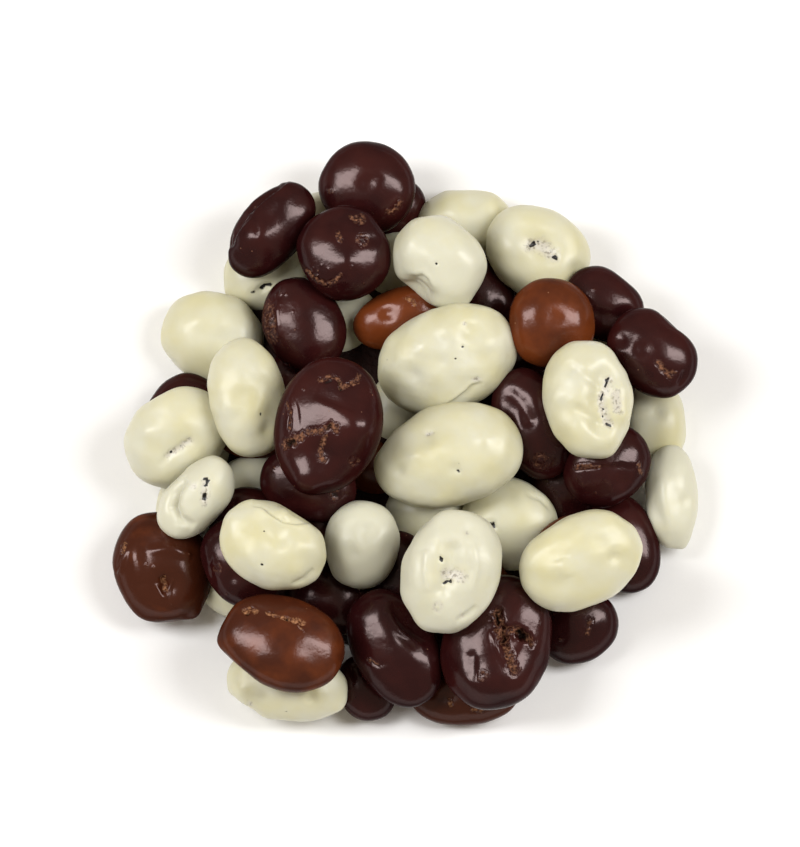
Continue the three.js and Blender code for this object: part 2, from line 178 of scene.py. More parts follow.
HALFWAY_UP = (
    Laid("dark", -5.4, 35.5, 13.8, 13.2, -35, tone=0.3,
         lumps=((150, 0, -0.04, 24), (95, 0, -0.03, 20), (48, 0, 0.03, 20), (75, 55, 0.04, 30),
                (280, 40, -0.06, 26)),
         marks=(("scar", 0.29, 0.2, (2.6, -3.6), (3.5, -3.6), (4.2, -3), (4.6, -2.3)),
                ("patch", 0.43, 0, (-5.5, -0.6)),
                ("crease", 0.17, 0.12, (0.1, 1.6), (1.2, 1.2), (2.2, 1.2)),
                ("dimple", 1.3, 0.35, (0, 0.6)))),
    Laid("dark", -19.5, 29.4, 15.9, 9.9, 51,
         lumps=((188, 0, -0.09, 14), (-55, 5, -0.05, 24), (128, 10, 0.03, 18), (270, 50, 0.08, 26)),
         marks=(("dimple", 0.65, 0.8, (0.8, 6.5), (-1.2, 5.1), (-3.1, 3.4), (-4.4, 1.7), (-5.6, -0.4),
                 (-6, -2)),
                ("fold", 0.23, 0.5, (2.7, 7), (1.2, 5.9), (-0.7, 4.6), (-2.2, 3.1), (-2.7, 2.1)),
                ("fold", 0.23, 0.45, (-2.7, 1.7), (-4.1, 0.2), (-5.3, -1.5)),
                ("crease", 0.2, 0.25, (-2.7, 2.2), (-2.2, 0.8), (-1.7, -0.9)),
                ("bump", 2.61, 0.9, (-1.8, -1.4)), ("patch", 0.29, 0, (-2.7, 3.7)))),
    Laid("white", -28.0, 13.8, 15.1, 13.2, -20, tone=0.2,
         lumps=((225, 0, -0.04, 24), (100, 0, -0.03, 25), (10, 45, -0.04, 26)),
         marks=(("dimple", 1.74, 0.35, (1.4, -0.3)), ("bump", 1.16, 0.2, (-1.7, 2.3)))),
    Laid("white", -32.9, -0.6, 15.9, 13.6, 52,
         lumps=((122, 0, -0.12, 24), (-5, 0, 0.03, 20), (120, 50, 0.05, 24)),
         marks=(("bare", 0.49, 0.3, (-1.2, -2.9), (0.3, -1.9), (2, -0.7)),
                ("crease", 0.35, 0.25, (-2.6, -4.2), (-0.9, -2.9)),
                ("hole", 0.13, 0.2, (-1, -2.8), (-0.4, -1.9)),
                ("hole", 0.12, 0.15, (0.4, -1.6), (1, -1.3)),
                ("dimple", 1.45, 0.5, (-0.9, -3), (1.7, -1.3)), ("bump", 1.3, 0.3, (-4.1, 0.7)))),
    Laid("dark", -1.6, -31.3, 18.1, 12.2, -62, tone=-0.4,
         lumps=((25, 35, -0.1, 22), (100, 50, 0.05, 22), (190, 45, -0.05, 20), (-60, 55, -0.05, 24)),
         marks=(("crease", 0.26, 0.2, (-4.1, -1.6), (-2.6, -2.5), (-1, -2)),
                ("scar", 0.17, 0.12, (-3.8, -1.6), (-2.3, -2.3)),
                ("dimple", 2.03, 0.8, (0.6, 4.8), (2.3, 2.2)),
                ("ridge", 0.58, 0.3, (-0.9, 5.4), (0.6, 3), (2.9, 1.3), (4.3, 0.1)))),
    Laid("dark", 13.5, -30.0, 19.7, 15.7, 70,
         lumps=((-24, 0, 0.06, 15), (265, 45, 0.14, 28), (90, 60, -0.06, 26)),
         marks=(("scar", 0.67, 0.8, (-0.1, 4.2), (0.3, 2.6), (0.9, 0.4)),
                ("scar", 0.49, 0.7, (0.9, 0.4), (1.6, -1.9), (2.2, -3.8)),
                ("scar", 0.49, 0.6, (1.3, 1.7), (2.9, 1.9), (4.1, 1), (4.9, 0.1)),
                ("hole", 0.75, 1.2, (3.6, 1.2), (4.1, 0.7)), ("hole", 0.2, 0.5, (-0.3, 4.2), (0.1, 3)),
                ("ring", 0.49, 0.15, (-1.9, -4.5)), ("patch", 0.23, 0, (6.1, 2.8)),
                ("patch", 0.23, 0, (3, -3.5)),
                ("crease", 0.29, 0.3, (-1, 1.7), (-0.3, -0.7), (0.9, -3.2)),
                ("dimple", 0.87, 0.4, (-3.5, -2.2), (-3.2, -4.3)), ("dimple", 1.74, 0.7, (1.4, 0)),
                ("bump", 3.48, 1.4, (-1.7, -5.2), (2.6, -5.5)))),
    Laid("white", 38.3, -9.3, 15.2, 7.7, -88, tone=-1,
         lumps=((-62, 0, 0.08, 14), (110, 0, -0.04, 20)),
         marks=(("dimple", 0.87, 0.3, (2.2, -0.4)),
                ("ridge", 0.87, 0.3, (-1, 3.2), (-0.7, -1.9), (0.1, -5.5)))),
    Laid("dark", 28.5, 18.5, 12.3, 9.6, -38,
         lumps=((50, 0, -0.08, 25), (230, 40, -0.06, 24)),
         marks=(("dimple", 1.01, 0.5, (-0.5, -1.5), (1.5, -1.8), (3.6, -1.2)),
                ("patch", 0.22, 0, (-1.4, 2.1)))),
    Laid("dark", 35.5, 11.5, 14.1, 10.7, -46, tone=0.2,
         lumps=((50, 0, -0.24, 22), (225, 0, -0.05, 22), (-78, 0, 0.02, 18), (60, 40, -0.08, 20),
                (200, 50, 0.05, 24)),
         marks=(("scar", 0.38, 0.35, (0.9, -1.4), (1.7, -2.4), (2.6, -3.3)),
                ("scar", 0.23, 0.25, (2, -2.7), (3.2, -2.8)),
                ("crease", 0.32, 0.4, (4.8, -2.4), (4.5, -3.6), (3.9, -4.7)),
                ("dimple", 1.16, 0.35, (-1.3, 0.5)), ("dimple", 1.01, 0.4, (-4.6, 2)))),
    Laid("dark", -14.6, 15.5, 14.2, 11.6, -62,
         lumps=((160, 0, -0.05, 20), (150, 40, -0.05, 20), (280, 50, 0.08, 26), (110, 45, 0.03, 18)),
         marks=(("patch", 1.01, 0, (-5.1, 2.6), (-5.2, 0.6), (-4.5, -2)),
                ("ring", 0.72, 0.35, (-4.9, 1), (-4.9, 0)), ("pin", 0.23, 0.3, (-4.8, 0.4)),
                ("rough", 1.01, 0.05, (-3.2, 4.2), (-1.7, 2.9)),
                ("ridge", 0.35, 0.3, (-3.5, 3.8), (-3.9, 1.2), (-3.3, -2)),
                ("bump", 0.87, 0.4, (-2.9, 5.7)))),
    Laid("milk", -0.9, 16.8, 14.2, 8.8, 16, tone=1,
         lumps=((150, 0, -0.05, 20), (60, 50, 0.04, 24)),
         marks=(("scar", 0.23, 0.15, (0.9, 2.8), (1.7, 2.6), (2, 1.9)),
                ("dimple", 1.16, 0.4, (-2, 0.7)))),
    Laid("white", 15.2, -12.8, 14.4, 13.0, -35, tone=0.3,
         lumps=((100, 50, -0.05, 22), (200, 40, 0.05, 24)),
         marks=(("hole", 0.35, 0.6, (-2.6, -0.1), (-2.3, -0.6)),
                ("crease", 0.32, 0.4, (2.3, 4.3), (4.5, 3.6), (6.1, 1.9)),
                ("dimple", 1.3, 0.35, (0.3, 3.3)))),
    Laid("dark", 18.7, 1.6, 16.8, 10.7, -68,
         lumps=((160, 50, -0.08, 20), (60, 50, 0.05, 20)),
         marks=(("ring", 0.87, 0.25, (1, -5.4)), ("rough", 0.72, 0.06, (1, -5.4)),
                ("dimple", 1.01, 0.4, (-3.2, 4.3), (-1.7, 2.9), (-0.7, 0.6)))),
    Laid("dark", -14.2, -7.8, 14.2, 10.4, -18,
         lumps=((120, 40, 0.05, 22), (-60, 40, -0.06, 22)),
         marks=(("ring", 0.58, 0.3, (3.9, -1.4)), ("hole", 0.2, 0.2, (3.8, -1.2), (4.2, -1.7)),
                ("rough", 0.87, 0.05, (-5.1, 2.5)))),
    Laid("dark", -23.6, -18.4, 13.6, 11.0, -60,
         lumps=((200, 30, -0.08, 18), (-60, 30, 0.05, 20)),
         marks=(("ring", 0.51, 0.25, (-3.6, -0.9)), ("patch", 0.23, 0, (-2.3, -4.6)),
                ("dimple", 1.01, 0.5, (-1.2, -2.2)),
                ("crease", 0.23, 0.25, (-4.3, 1.2), (-4.6, -0.7), (-4.1, -2.6)))),
    Laid("dark", 29.1, -4.8, 13.3, 10.9, 40,
         lumps=((120, 0, -0.05, 25), (80, 50, -0.09, 20), (-70, 50, 0.06, 26)),
         marks=(("scar", 0.23, 0.2, (-4.6, -0.1), (-2.9, 0.1), (-1.2, 0)),
                ("fold", 0.35, 0.35, (-4.9, -0.1), (-1.2, 0.1), (1.7, 0.4), (4.9, 0)),
                ("scar", 0.23, 0.2, (4.5, 0.4), (4.9, -1)), ("patch", 0.22, 0, (-1.7, -3.8)),
                ("dimple", 1.01, 0.4, (2.2, -2.3)))),
    Laid("milk", -17.8, -30.6, 18.4, 13.5, -17, tone=-0.2,
         lumps=((222, 0, -0.12, 28), (186, 0, 0.05, 12), (150, 0, -0.04, 16), (268, 50, 0.1, 30),
                (100, 50, -0.06, 28)),
         marks=(("scar", 0.35, 0.3, (-5.3, 4.6), (-4.6, 4.9), (-3.7, 4.6)), ("pin", 0.23, 0.3, (-5, 4.2)),
                ("scar", 0.2, 0.25, (-2.2, 4.3), (-0.7, 3.9), (0.8, 3.6)),
                ("scar", 0.38, 0.25, (0.9, 3.5), (2.2, 3.3), (3, 3)), ("pin", 0.22, 0.3, (0.8, 3.6)),
                ("scar", 0.14, 0.12, (2.5, 2.6), (3, 1.9)))),
)

UNDER_THE_TOP = (
    Laid("dark", 6.1, -19.6, 11.9, 11.3, 80),
    Laid("milk", 25.4, -18.4, 13.9, 12.2, 10),
    Laid("white", -9.0, 1.9, 10.7, 8.4, 70),
    Laid("dark", 26.8, 5.5, 12.2, 9.3, 80),
)

ON_TOP = (
    Laid("dark", -9.0, 25.9, 13.8, 13.2, -70,
         lumps=((40, 0, -0.05, 20), (130, 0, -0.03, 20), (280, 60, 0.08, 28), (75, 50, -0.07, 22)),
         marks=(("ring", 0.65, 0.18, (2.2, 4.9)), ("scar", 0.26, 0.12, (0.9, 5.3), (2.9, 4.7)),
                ("scar", 0.29, 0.15, (-0.9, 3), (-0.6, 1.8)), ("ring", 0.72, 0.2, (2.6, 1.8)),
                ("pin", 0.2, 0.2, (2.6, 1.8)),
                ("scar", 0.23, 0.2, (-5.5, -2.5), (-4.5, -3.6), (-3, -4.3)),
                ("scar", 0.22, 0.2, (-2.8, -4.7), (-1.4, -4.1), (-0.4, -3.1)),
                ("rough", 1.74, 0.05, (-3.9, -3.1), (-1.3, -4.3)), ("patch", 0.23, 0, (1, -2.1)),
                ("patch", 0.23, 0, (2.8, -4.4)), ("dimple", 1.74, 0.45, (-1.9, 4.7)),
                ("bump", 1.88, 0.5, (0.6, -1.2)), ("dimple", 1.01, 0.3, (4.2, 2.1)))),
    Laid("white", 4.9, 24.7, 14.4, 11.7, -40, tone=-0.5,
         lumps=((229, 0, -0.26, 16), (50, 0, -0.16, 24), (100, 0, -0.05, 20), (150, 0, 0.05, 16),
                (-62, 0, 0.06, 14), (230, 35, -0.12, 20), (160, 50, 0.06, 20), (0, 50, 0.03, 24)),
         marks=(("fold", 0.38, 0.7, (-4.6, -2.4), (-3.6, -2.2), (-2.5, -2.1), (-1.7, -2.8), (-1.1, -4.1)),
                ("pin", 0.17, 0.3, (-0.4, -0.5)), ("dimple", 1.3, 1.9, (-4.4, -4.1), (-2.8, -5.3)),
                ("dimple", 1.01, 0.3, (-0.9, -4.9)), ("bump", 1.74, 0.35, (2.8, 1.1)),
                ("bump", 1.3, 0.4, (-4.1, 3)))),
    Laid("white", 19.0, 26.0, 15.7, 13.0, -30, tone=0.3,
         lumps=((50, 0, -0.06, 24), (240, 0, 0.03, 18), (92, 0, -0.07, 20), (190, 50, 0.05, 22),
                (-60, 45, 0.05, 22), (60, 80, -0.08, 22)),
         marks=(("dimple", 2.61, 0.9, (0.7, 0.7)),
                ("bare", 1.01, 0.15, (-1, 1.1), (0.7, 1.1), (2.3, -0.4)),
                ("hole", 0.22, 0.35, (-1, 0.9), (-0.4, 1.5)), ("pin", 0.19, 0.3, (0.3, 1.8)),
                ("hole", 0.28, 0.4, (2.5, -0.7), (2.9, -0.9)), ("dimple", 0.87, 0.3, (5.9, -2.4)))),
    Laid("milk", 21.0, 15.9, 13.0, 12.5, 90, tone=0.5,
         lumps=((0, 60, 0.02, 30),),
         marks=(("dimple", 1.45, 0.15, (0.2, 0.8)),)),
    Laid("white", 26.5, 4.6, 17.4, 12.9, -82,
         lumps=((225, 0, -0.09, 20), (-20, 0, -0.04, 18), (170, 50, 0.06, 22), (-25, 55, -0.12, 20),
                (-110, 45, 0.05, 18)),
         marks=(("dimple", 1.74, 1.2, (2.2, 3.3), (1.4, 0.1), (2, -3.3)),
                ("dimple", 0.87, 0.45, (-2.3, 4.6), (-0.3, 3.5), (1.7, 2.2)),
                ("dimple", 0.87, 0.45, (-1.4, -1.4), (0.4, -2.8), (2, -4.5)),
                ("bump", 1.3, 0.4, (5.1, 1.3), (4.9, -2)),
                ("bare", 0.65, 0.1, (3.3, 3), (2.3, 0.4), (2.3, -1.4), (3.2, -3.6)),
                ("bare", 0.58, 0.05, (4.1, 0.9), (4.3, -1.6)), ("hole", 0.22, 0.35, (3.3, 3.3), (3, 2.3)),
                ("hole", 0.17, 0.3, (2.5, 0.9), (2.2, 0)), ("pin", 0.17, 0.3, (2.5, -1.4)),
                ("pin", 0.17, 0.3, (2.5, -2.6)), ("hole", 0.17, 0.3, (3, -3.8), (3.6, -3.9)))),
    Laid("white", 6.4, 10.6, 20.9, 15.1, 22, tone=0.1,
         lumps=((-14, 0, 0.03, 16), (152, 0, 0.04, 18), (205, 0, 0.03, 18), (150, 45, -0.05, 20),
                (-80, 50, 0.05, 22), (40, 50, -0.05, 22)),
         marks=(("fold", 0.32, 0.5, (-0.3, -6.7), (1.3, -5.8), (2.8, -4.6), (3.6, -3.8), (5.1, -3.3)),
                ("bare", 0.26, 0.05, (2.5, 5.2)), ("pin", 0.14, 0.15, (2.2, 1.9)),
                ("pin", 0.14, 0.15, (1.2, 0.1)), ("dimple", 1.3, 0.35, (3, 4.2)),
                ("bare", 0.32, 0.1, (3.9, -3), (4.6, -2.9)), ("dimple", 1.3, 0.35, (-4.9, -2.3)),
                ("bump", 1.59, 0.35, (-3.5, 1.4)), ("bump", 1.45, 0.3, (6.2, 2.6)),
                ("dimple", 1.3, 0.3, (-0.6, -0.3)), ("bump", 1.3, 0.25, (1.9, -2)),
                ("dimple", 1.3, 0.3, (4.9, 0.3)), ("bump", 1.3, 0.3, (-0.4, 4.3)))),
    Laid("white", 6.5, -3.2, 21.8, 14.9, 14, tone=0.3,
         lumps=((150, 0, -0.18, 18), (243, 0, -0.05, 18), (10, 50, 0.05, 24), (-100, 50, -0.04, 22),
                (120, 60, -0.04, 20)),
         marks=(("dimple", 0.87, 0.3, (1, -1.9)), ("pin", 0.19, 0.2, (1.6, -2.2)),
                ("bare", 0.26, 0.1, (-3.2, 3.2), (-2.3, 3.3)), ("dimple", 1.3, 0.3, (-2.9, 2.6)),
                ("dimple", 1.16, 0.3, (-7, -2.2)), ("bump", 1.3, 0.3, (5.4, 2.2)),
                ("bump", 1.16, 0.25, (-4.3, 0)))),
    Laid("white", -23.1, 4.9, 17.4, 11.0, -82, tone=0.2,
         lumps=((150, 0, 0.05, 22), (110, 50, 0.05, 24), (-60, 45, -0.04, 22)),
         marks=(("pin", 0.14, 0.1, (2, -2.3)), ("dimple", 1.3, 0.3, (-1.4, 0.6)),
                ("dimple", 0.87, 0.3, (2.9, -4.5)))),
    Laid("dark", -11.2, 1.0, 19.7, 15.2, 76, tone=0.5,
         lumps=((270, 50, 0.07, 28), (100, 50, -0.05, 22)),
         marks=(("scar", 0.23, 0.25, (-1.2, 6.4), (0.4, 7.1), (1.6, 6.7), (2, 5.4)),
                ("scar", 0.32, 0.25, (2, 5.4), (3, 5.7), (4.2, 6.2), (4.6, 7.1)),
                ("crease", 0.26, 0.12, (-5.1, 4.1), (-4.5, 2.6), (-4.3, 0.7), (-4.1, -0.7)),
                ("scar", 0.14, 0.15, (-5.9, 3.2), (-5.4, 1.6), (-5.5, -0.6)),
                ("scar", 0.52, 0.3, (-6.1, -3), (-5.2, -2.3), (-3.9, -1.7)),
                ("hole", 0.43, 0.6, (-5.7, -2.9), (-5.4, -2.5)),
                ("scar", 0.38, 0.25, (-2.8, -1), (-1.2, -0.9), (0.7, 0), (1.3, -0.6)),
                ("scar", 0.35, 0.25, (-0.3, -1.6), (-0.9, -3.2), (-1.2, -4.3), (-0.7, -5.2)),
                ("ring", 0.58, 0.2, (3.8, -5.1)), ("patch", 0.23, 0, (-3.5, 5.2)),
                ("patch", 0.22, 0, (6.1, 4.8)), ("bump", 3.19, 1.7, (4.2, -0.3)),
                ("fold", 0.72, 0.35, (3.8, 1.7), (0.9, 3), (-2, 4.1)),
                ("dimple", 1.88, 0.8, (-1.2, -3.8)), ("bump", 2.46, 1.5, (-3.2, -8.3)),
                ("hole", 0.13, 0.3, (-0.4, 6.1), (0.4, 6.4)), ("hole", 0.12, 0.3, (1.6, 6.4), (1.9, 5.1)),
                ("hole", 0.14, 0.3, (0.4, 0.1), (0, -0.7)))),
    Laid("white", -30.3, -9.7, 13.8, 8.1, 49, tone=-0.8,
         lumps=((139, 5, -0.1, 22), (-41, 0, -0.06, 18), (225, 45, -0.07, 16), (60, 40, 0.08, 22)),
         marks=(("hole", 0.22, 0.35, (1.2, 2.8), (1.7, 2.6), (1.4, 1.9)),
                ("hole", 0.29, 0.4, (1.3, 0.7), (1.2, -0.1)),
                ("bare", 0.58, 0.1, (1.3, 2.3), (1.2, -0.6)), ("bare", 0.43, 0.05, (-0.4, 1.6)),
                ("crease", 0.61, 1.4, (-1.4, 2.9), (-2.9, 0.9), (-3.3, -1.2), (-2.3, -3), (-0.3, -4.3)),
                ("bump", 2.17, 0.5, (1.4, 0.9)), ("dimple", 0.72, 0.3, (1.4, 1.3)))),
    Laid("white", -19.3, -16.5, 15.9, 12.2, -22, tone=0.4,
         lumps=((50, 0, -0.24, 24), (-42, 0, 0.06, 16), (215, 0, -0.05, 20), (150, 40, 0.07, 20),
                (90, 75, -0.08, 20), (-80, 40, -0.05, 18), (0, 45, 0.06, 20)),
         marks=(("fold", 0.38, 0.7, (5.5, 3.3), (3.6, 3.2), (1.6, 3.5), (-0.1, 4.5), (-1.4, 5.5),
                 (-2.9, 5.8)), ("bump", 1.01, 0.6, (1.7, 4.9)),
                ("crease", 0.32, 0.4, (2.9, -5.4), (4.6, -4.8), (6.1, -3.3)),
                ("bump", 2.03, 0.6, (-2.5, -0.7)), ("bump", 1.74, 0.45, (2.9, -0.7)),
                ("pin", 0.16, 0.15, (-1, 2.2)), ("pin", 0.19, 0.2, (-1.4, -2.6)),
                ("dimple", 1.59, 0.45, (0.7, 0.9)), ("dimple", 1.45, 0.35, (-4.1, 2.9)),
                ("bump", 1.3, 0.3, (4.1, -3.3)))),
    Laid("white", -6.4, -15.9, 12.8, 10.9, 88, tone=-1,
         lumps=((165, 0, 0.03, 20), (-50, 0, -0.04, 22), (120, 60, -0.05, 22)),
         marks=(("dimple", 1.16, 0.35, (0.9, 2.2)), ("dimple", 1.16, 0.3, (-1.3, -1.3)),
                ("ridge", 0.72, 0.2, (-1.3, 1.9), (-0.1, -1.3)))),
    Laid("white", 6.8, -20.2, 18.3, 14.1, 74, tone=-0.7,
         lumps=((135, 0, -0.04, 24), (242, 0, 0.06, 16), (-52, 0, -0.07, 20), (180, 40, 0.05, 20),
                (0, 40, 0.05, 20), (90, 85, -0.08, 24)),
         marks=(("dimple", 1.3, 0.8, (0.1, 3.2), (-0.1, 0.3), (-1.2, -2.6)),
                ("hole", 0.23, 0.3, (-1.6, 2.2), (-1.3, 1.6)),
                ("hole", 0.22, 0.35, (-1.2, -1.7), (-0.1, -1.4)),
                ("ridge", 0.58, 0.35, (3.2, 3.9), (3.6, 0.3), (2.8, -2.9)),
                ("ridge", 0.58, 0.35, (-3.5, 3.2), (-3.6, 0), (-3.2, -2.9)),
                ("bare", 0.87, 0.05, (-0.7, -0.3), (1.4, -0.6)), ("ring", 0.58, 0.15, (-1.9, -5.1)),
                ("crease", 0.38, 0.45, (0.6, -7.1), (2.3, -6.2), (3.8, -4.9)),
                ("bare", 0.35, 0.1, (1.7, -6.5)), ("bare", 0.26, 0.05, (2.3, 5.7)),
                ("dimple", 0.87, 0.3, (2.6, 6.1)))),
    Laid("white", 25.2, -18.7, 18.4, 13.2, 26, tone=0.4,
         lumps=((125, 0, -0.07, 20), (48, 0, -0.06, 22), (-15, 0, -0.03, 18), (80, 50, 0.05, 22),
                (-20, 50, -0.06, 20)),
         marks=(("dimple", 1.01, 0.5, (4.9, 0.7)),
                ("ridge", 0.23, 0.2, (4.8, 1.6), (5.7, 1.4), (5.9, 0.7)),
                ("pin", 0.14, 0.15, (3.8, -1.2)), ("dimple", 1.45, 0.35, (2.8, 2.5)),
                ("ridge", 1.01, 0.3, (-3, 0.3), (-1.9, -2.3)))),
)


class Layer(NamedTuple):
    """Raisins laid at the same time. The more of a layer shows, the larger its share of triangles."""

    rows: tuple
    slack: float
    share: float


LAYERS = (
    Layer(ON_THE_SURFACE, SEEN_SLACK, 0.5),
    Layer(IN_THE_GAPS, DEEP_SLACK, 0.12),
    Layer(HALFWAY_UP, SEEN_SLACK, 1.0),
    Layer(UNDER_THE_TOP, DEEP_SLACK, 0.05),
    Layer(ON_TOP, SEEN_SLACK, 1.2),
)
MARKED_SHARE = 0.18       # a raisin's share grows by this much for each mark on it

# ---- the view that the layout is given in ----

RISE = math.radians(VIEW_RISE)
RIGHT = np.array((1, 0, 0))
UP = np.array((0, math.sin(RISE), math.cos(RISE)))
EYE = np.array((0, -math.cos(RISE), math.sin(RISE)))
VIEW = np.stack((RIGHT, UP, EYE))

GOLDEN_ANGLE = math.pi * (3 - math.sqrt(5))


def on_sphere(height, turn):
    """Directions from their height on the unit sphere and their turn about its axis."""
    reach = np.sqrt(1 - height * height)
    return np.stack((reach * np.cos(turn), reach * np.sin(turn), height), axis=-1)


def even_directions(count):
    """Directions spread evenly over a sphere, each turned from the last by the golden angle."""
    index = np.arange(count)
    return on_sphere(1 - (2 * index + 1) / count, (index + 0.5) * GOLDEN_ANGLE)


DIRECTIONS = even_directions(DIRECTION_COUNT)


class Chance:
    """Numbers from 0 to 1 that are the same in each run: a plain congruential generator."""

    FACTOR = 1664525
    STEP = 1013904223
    STATES = 2**32

    def __init__(self, seed):
        self.state = seed

    def next(self):
        self.state = (self.state * self.FACTOR + self.STEP) % self.STATES
        return self.state / self.STATES

    def between(self, low, high):
        return low + (high - low) * self.next()


# ---- one raisin ----


def leaning_axes(turn, chance):
    """The length, width and thickness directions of a raisin, as the rows of a matrix."""
    turn = math.radians(turn)
    pitch = math.radians(chance.between(-TILT, TILT))
    roll = math.radians(chance.between(-TILT, TILT))
    about_eye = np.array([
        [math.cos(turn), -math.sin(turn), 0], [math.sin(turn), math.cos(turn), 0], [0, 0, 1]])
    about_width = np.array([
        [math.cos(pitch), 0, math.sin(pitch)], [0, 1, 0], [-math.sin(pitch), 0, math.cos(pitch)]])
    about_length = np.array([
        [1, 0, 0], [0, math.cos(roll), -math.sin(roll)], [0, math.sin(roll), math.cos(roll)]])
    return (VIEW.T @ about_eye @ about_width @ about_length).T


def chance_direction(chance):
    height = chance.between(-1, 1)
    return on_sphere(height, chance.between(0, 2 * math.pi))


def chance_lump(chance):
    at = chance_direction(chance)
    height = chance.between(*CHANCE_LUMP_DEPTH)
    return at, height, chance.between(*CHANCE_LUMP_SHARPNESS)


def listed_lump(lump, turn):
    bearing, rise, height, spread = lump
    at = on_sphere(math.sin(math.radians(rise)), math.radians(bearing - turn))
    return at, height, 1 / (1 - math.cos(math.radians(spread)))


class Raisin:
    """A lumpy egg, stretched to exactly its length, width and thickness."""

    def __init__(self, laid, seed, layer):
        chance = Chance(seed)
        self.laid = laid
        self.seed = seed
        self.slack = layer.slack
        self.share = layer.share * (1 + MARKED_SHARE * len(laid.marks))
        self.axes = leaning_axes(laid.turn, chance)
        self.lumps = [chance_lump(chance) for _ in range(CHANCE_LUMPS)]
        self.lumps += [listed_lump(lump, laid.turn) for lump in laid.lumps]
        self.target = laid.right * RIGHT + laid.up * UP
        self.centre = self.target.copy()
        thickness = USUAL_THICKNESS * (laid.width / USUAL_WIDTH) ** THICKENING
        self.size = np.array((laid.length, laid.width, thickness))
        points = DIRECTIONS * self.radius(DIRECTIONS)[:, None]
        low, high = points.min(axis=0), points.max(axis=0)
        self.middle = (low + high) / 2
        self.stretch = self.size / (high - low)
        self.measure()

    def radius(self, directions):
        """Radius before fitting, in directions of the raisin's own axes."""
        radius = (np.abs(directions) ** SQUARENESS).sum(axis=1) ** (-1 / SQUARENESS)
        for at, height, sharpness in self.lumps:
            radius = radius + height * np.exp(sharpness * (directions @ at - 1))
        return radius

    def skin(self, directions):
        """The points of its skin, from its centre."""
        points = directions * self.radius(directions)[:, None]
        return ((points - self.middle) * self.stretch) @ self.axes

    def outward(self, points):
        """The direction straight out of an egg of its size, at points measured from its centre."""
        outward = ((points @ self.axes.T) / self.size**2) @ self.axes
        return outward / np.linalg.norm(outward, axis=1)[:, None]

    def measure(self):
        """How far the skin reaches along each of the even directions, forwards and backwards."""
        points = self.skin(DIRECTIONS)
        self.ahead = (DIRECTIONS @ points.T).max(axis=1)
        self.behind = (-DIRECTIONS @ points.T).max(axis=1)
        self.reach = np.linalg.norm(points, axis=1).max()
        self.low = points[:, 2].min()


# ---- laying the heap ----


def fall_onto(raisin, other):
    """How far a raisin comes down along the line of sight before it lies on another one."""
    gap = DIRECTIONS @ (raisin.centre - other.centre) - other.ahead - raisin.behind + PRESS
    closing = DIRECTIONS @ EYE
    first = (gap / closing)[closing > 0].max()
    last = (gap / closing)[closing <= 0].min()
    return first if first < last else math.inf


def lay_down(raisins):
    for count, raisin in enumerate(raisins):
        raisin.centre = raisin.centre + CLEARANCE * EYE
        fall = (raisin.centre[2] + raisin.low + FLAT) / EYE[2]
        fall = min([fall, *(fall_onto(raisin, other) for other in raisins[:count])])
        raisin.centre = raisin.centre - fall * EYE


def push_apart(one, other):
    """Pushes two raisins apart, each by half of what they overlap, the shortest way out."""
    apart = other.centre - one.centre
    if apart @ apart > (one.reach + other.reach) ** 2:
        return
    depth = one.ahead + other.behind - PRESS - DIRECTIONS @ apart
    way = depth.argmin()
    if depth[way] > 0:
        one.centre = one.centre - DIRECTIONS[way] * depth[way] / 2
        other.centre = other.centre + DIRECTIONS[way] * depth[way] / 2


def shift_in_view(raisin):
    shift = raisin.centre - raisin.target
    return shift - (shift @ EYE) * EYE


def keep_in_place(raisin):
    shift = shift_in_view(raisin)
    length = np.linalg.norm(shift)
    if length > raisin.slack:
        raisin.centre = raisin.centre - shift * (1 - raisin.slack / length)
    raisin.centre[2] = max(raisin.centre[2], -FLAT - raisin.low)


def settle(raisins):
    for turn in range(SETTLE_ROUNDS):
        fall = FALL * (1 - turn / SETTLE_ROUNDS)
        for raisin in raisins:
            raisin.centre = raisin.centre - PULL * shift_in_view(raisin) - fall * EYE
        for _ in range(PUSHES):
            for i, raisin in enumerate(raisins):
                for other in raisins[i + 1:]:
                    push_apart(raisin, other)
            for raisin in raisins:
                keep_in_place(raisin)


@cache
def heap():
    """All the raisins, lying as they do in the CAD solid."""
    raisins = []
    for layer in LAYERS:
        for laid in layer.rows:
            raisins.append(Raisin(laid, len(raisins) + 1, layer))
    lay_down(raisins)
    settle(raisins)
    return raisins


# ---- the marks that the drying fruit leaves in its coat ----
#
# Each takes where points lie from the mark's path, and the mark's half width and depth. It gives
# the relief in millimetres, and how bare of coat and how deep in a hole the points are, from 0 to 1.


class Near(NamedTuple):
    """Where points lie from a path."""

    away: np.ndarray      # how far from it
    aside: np.ndarray     # how far to its right-hand side
    along: np.ndarray     # which share of it is passed
    grain: np.ndarray     # the crumbly unevenness there


def soften(share):
    share = np.clip(share, 0, 1)
    return share * share * (3 - 2 * share)


def hill(away, width):
    return np.exp(-((away / width) ** 2))


def fading(near):
    """1 in the middle of the path, running out to 0 at its ends."""
    return np.sqrt(1 - (2 * near.along - 1) ** 2)


def crease(near, width, depth):
    """A sharp valley that runs out at its ends."""
    return -depth * hill(near.away, width) * fading(near), 0, 0


def ridge(near, width, depth):
    return depth * hill(near.away, width) * fading(near), 0, 0


def fold(near, width, depth):
    """A step: the coat to the right of the path lies lower, and a lip runs along it."""
    step = soften(0.5 + near.aside / width) * np.exp(-near.away / (5 * width))
    lip = hill(near.aside + width, width) * np.exp(-near.away / (3 * width))
    return -depth * fading(near) * (step - 0.25 * lip), 0, 0


def dimple(near, width, depth):
    return -depth * hill(near.away, width), 0, 0


def bump(near, width, depth):
    return depth * hill(near.away, width), 0, 0


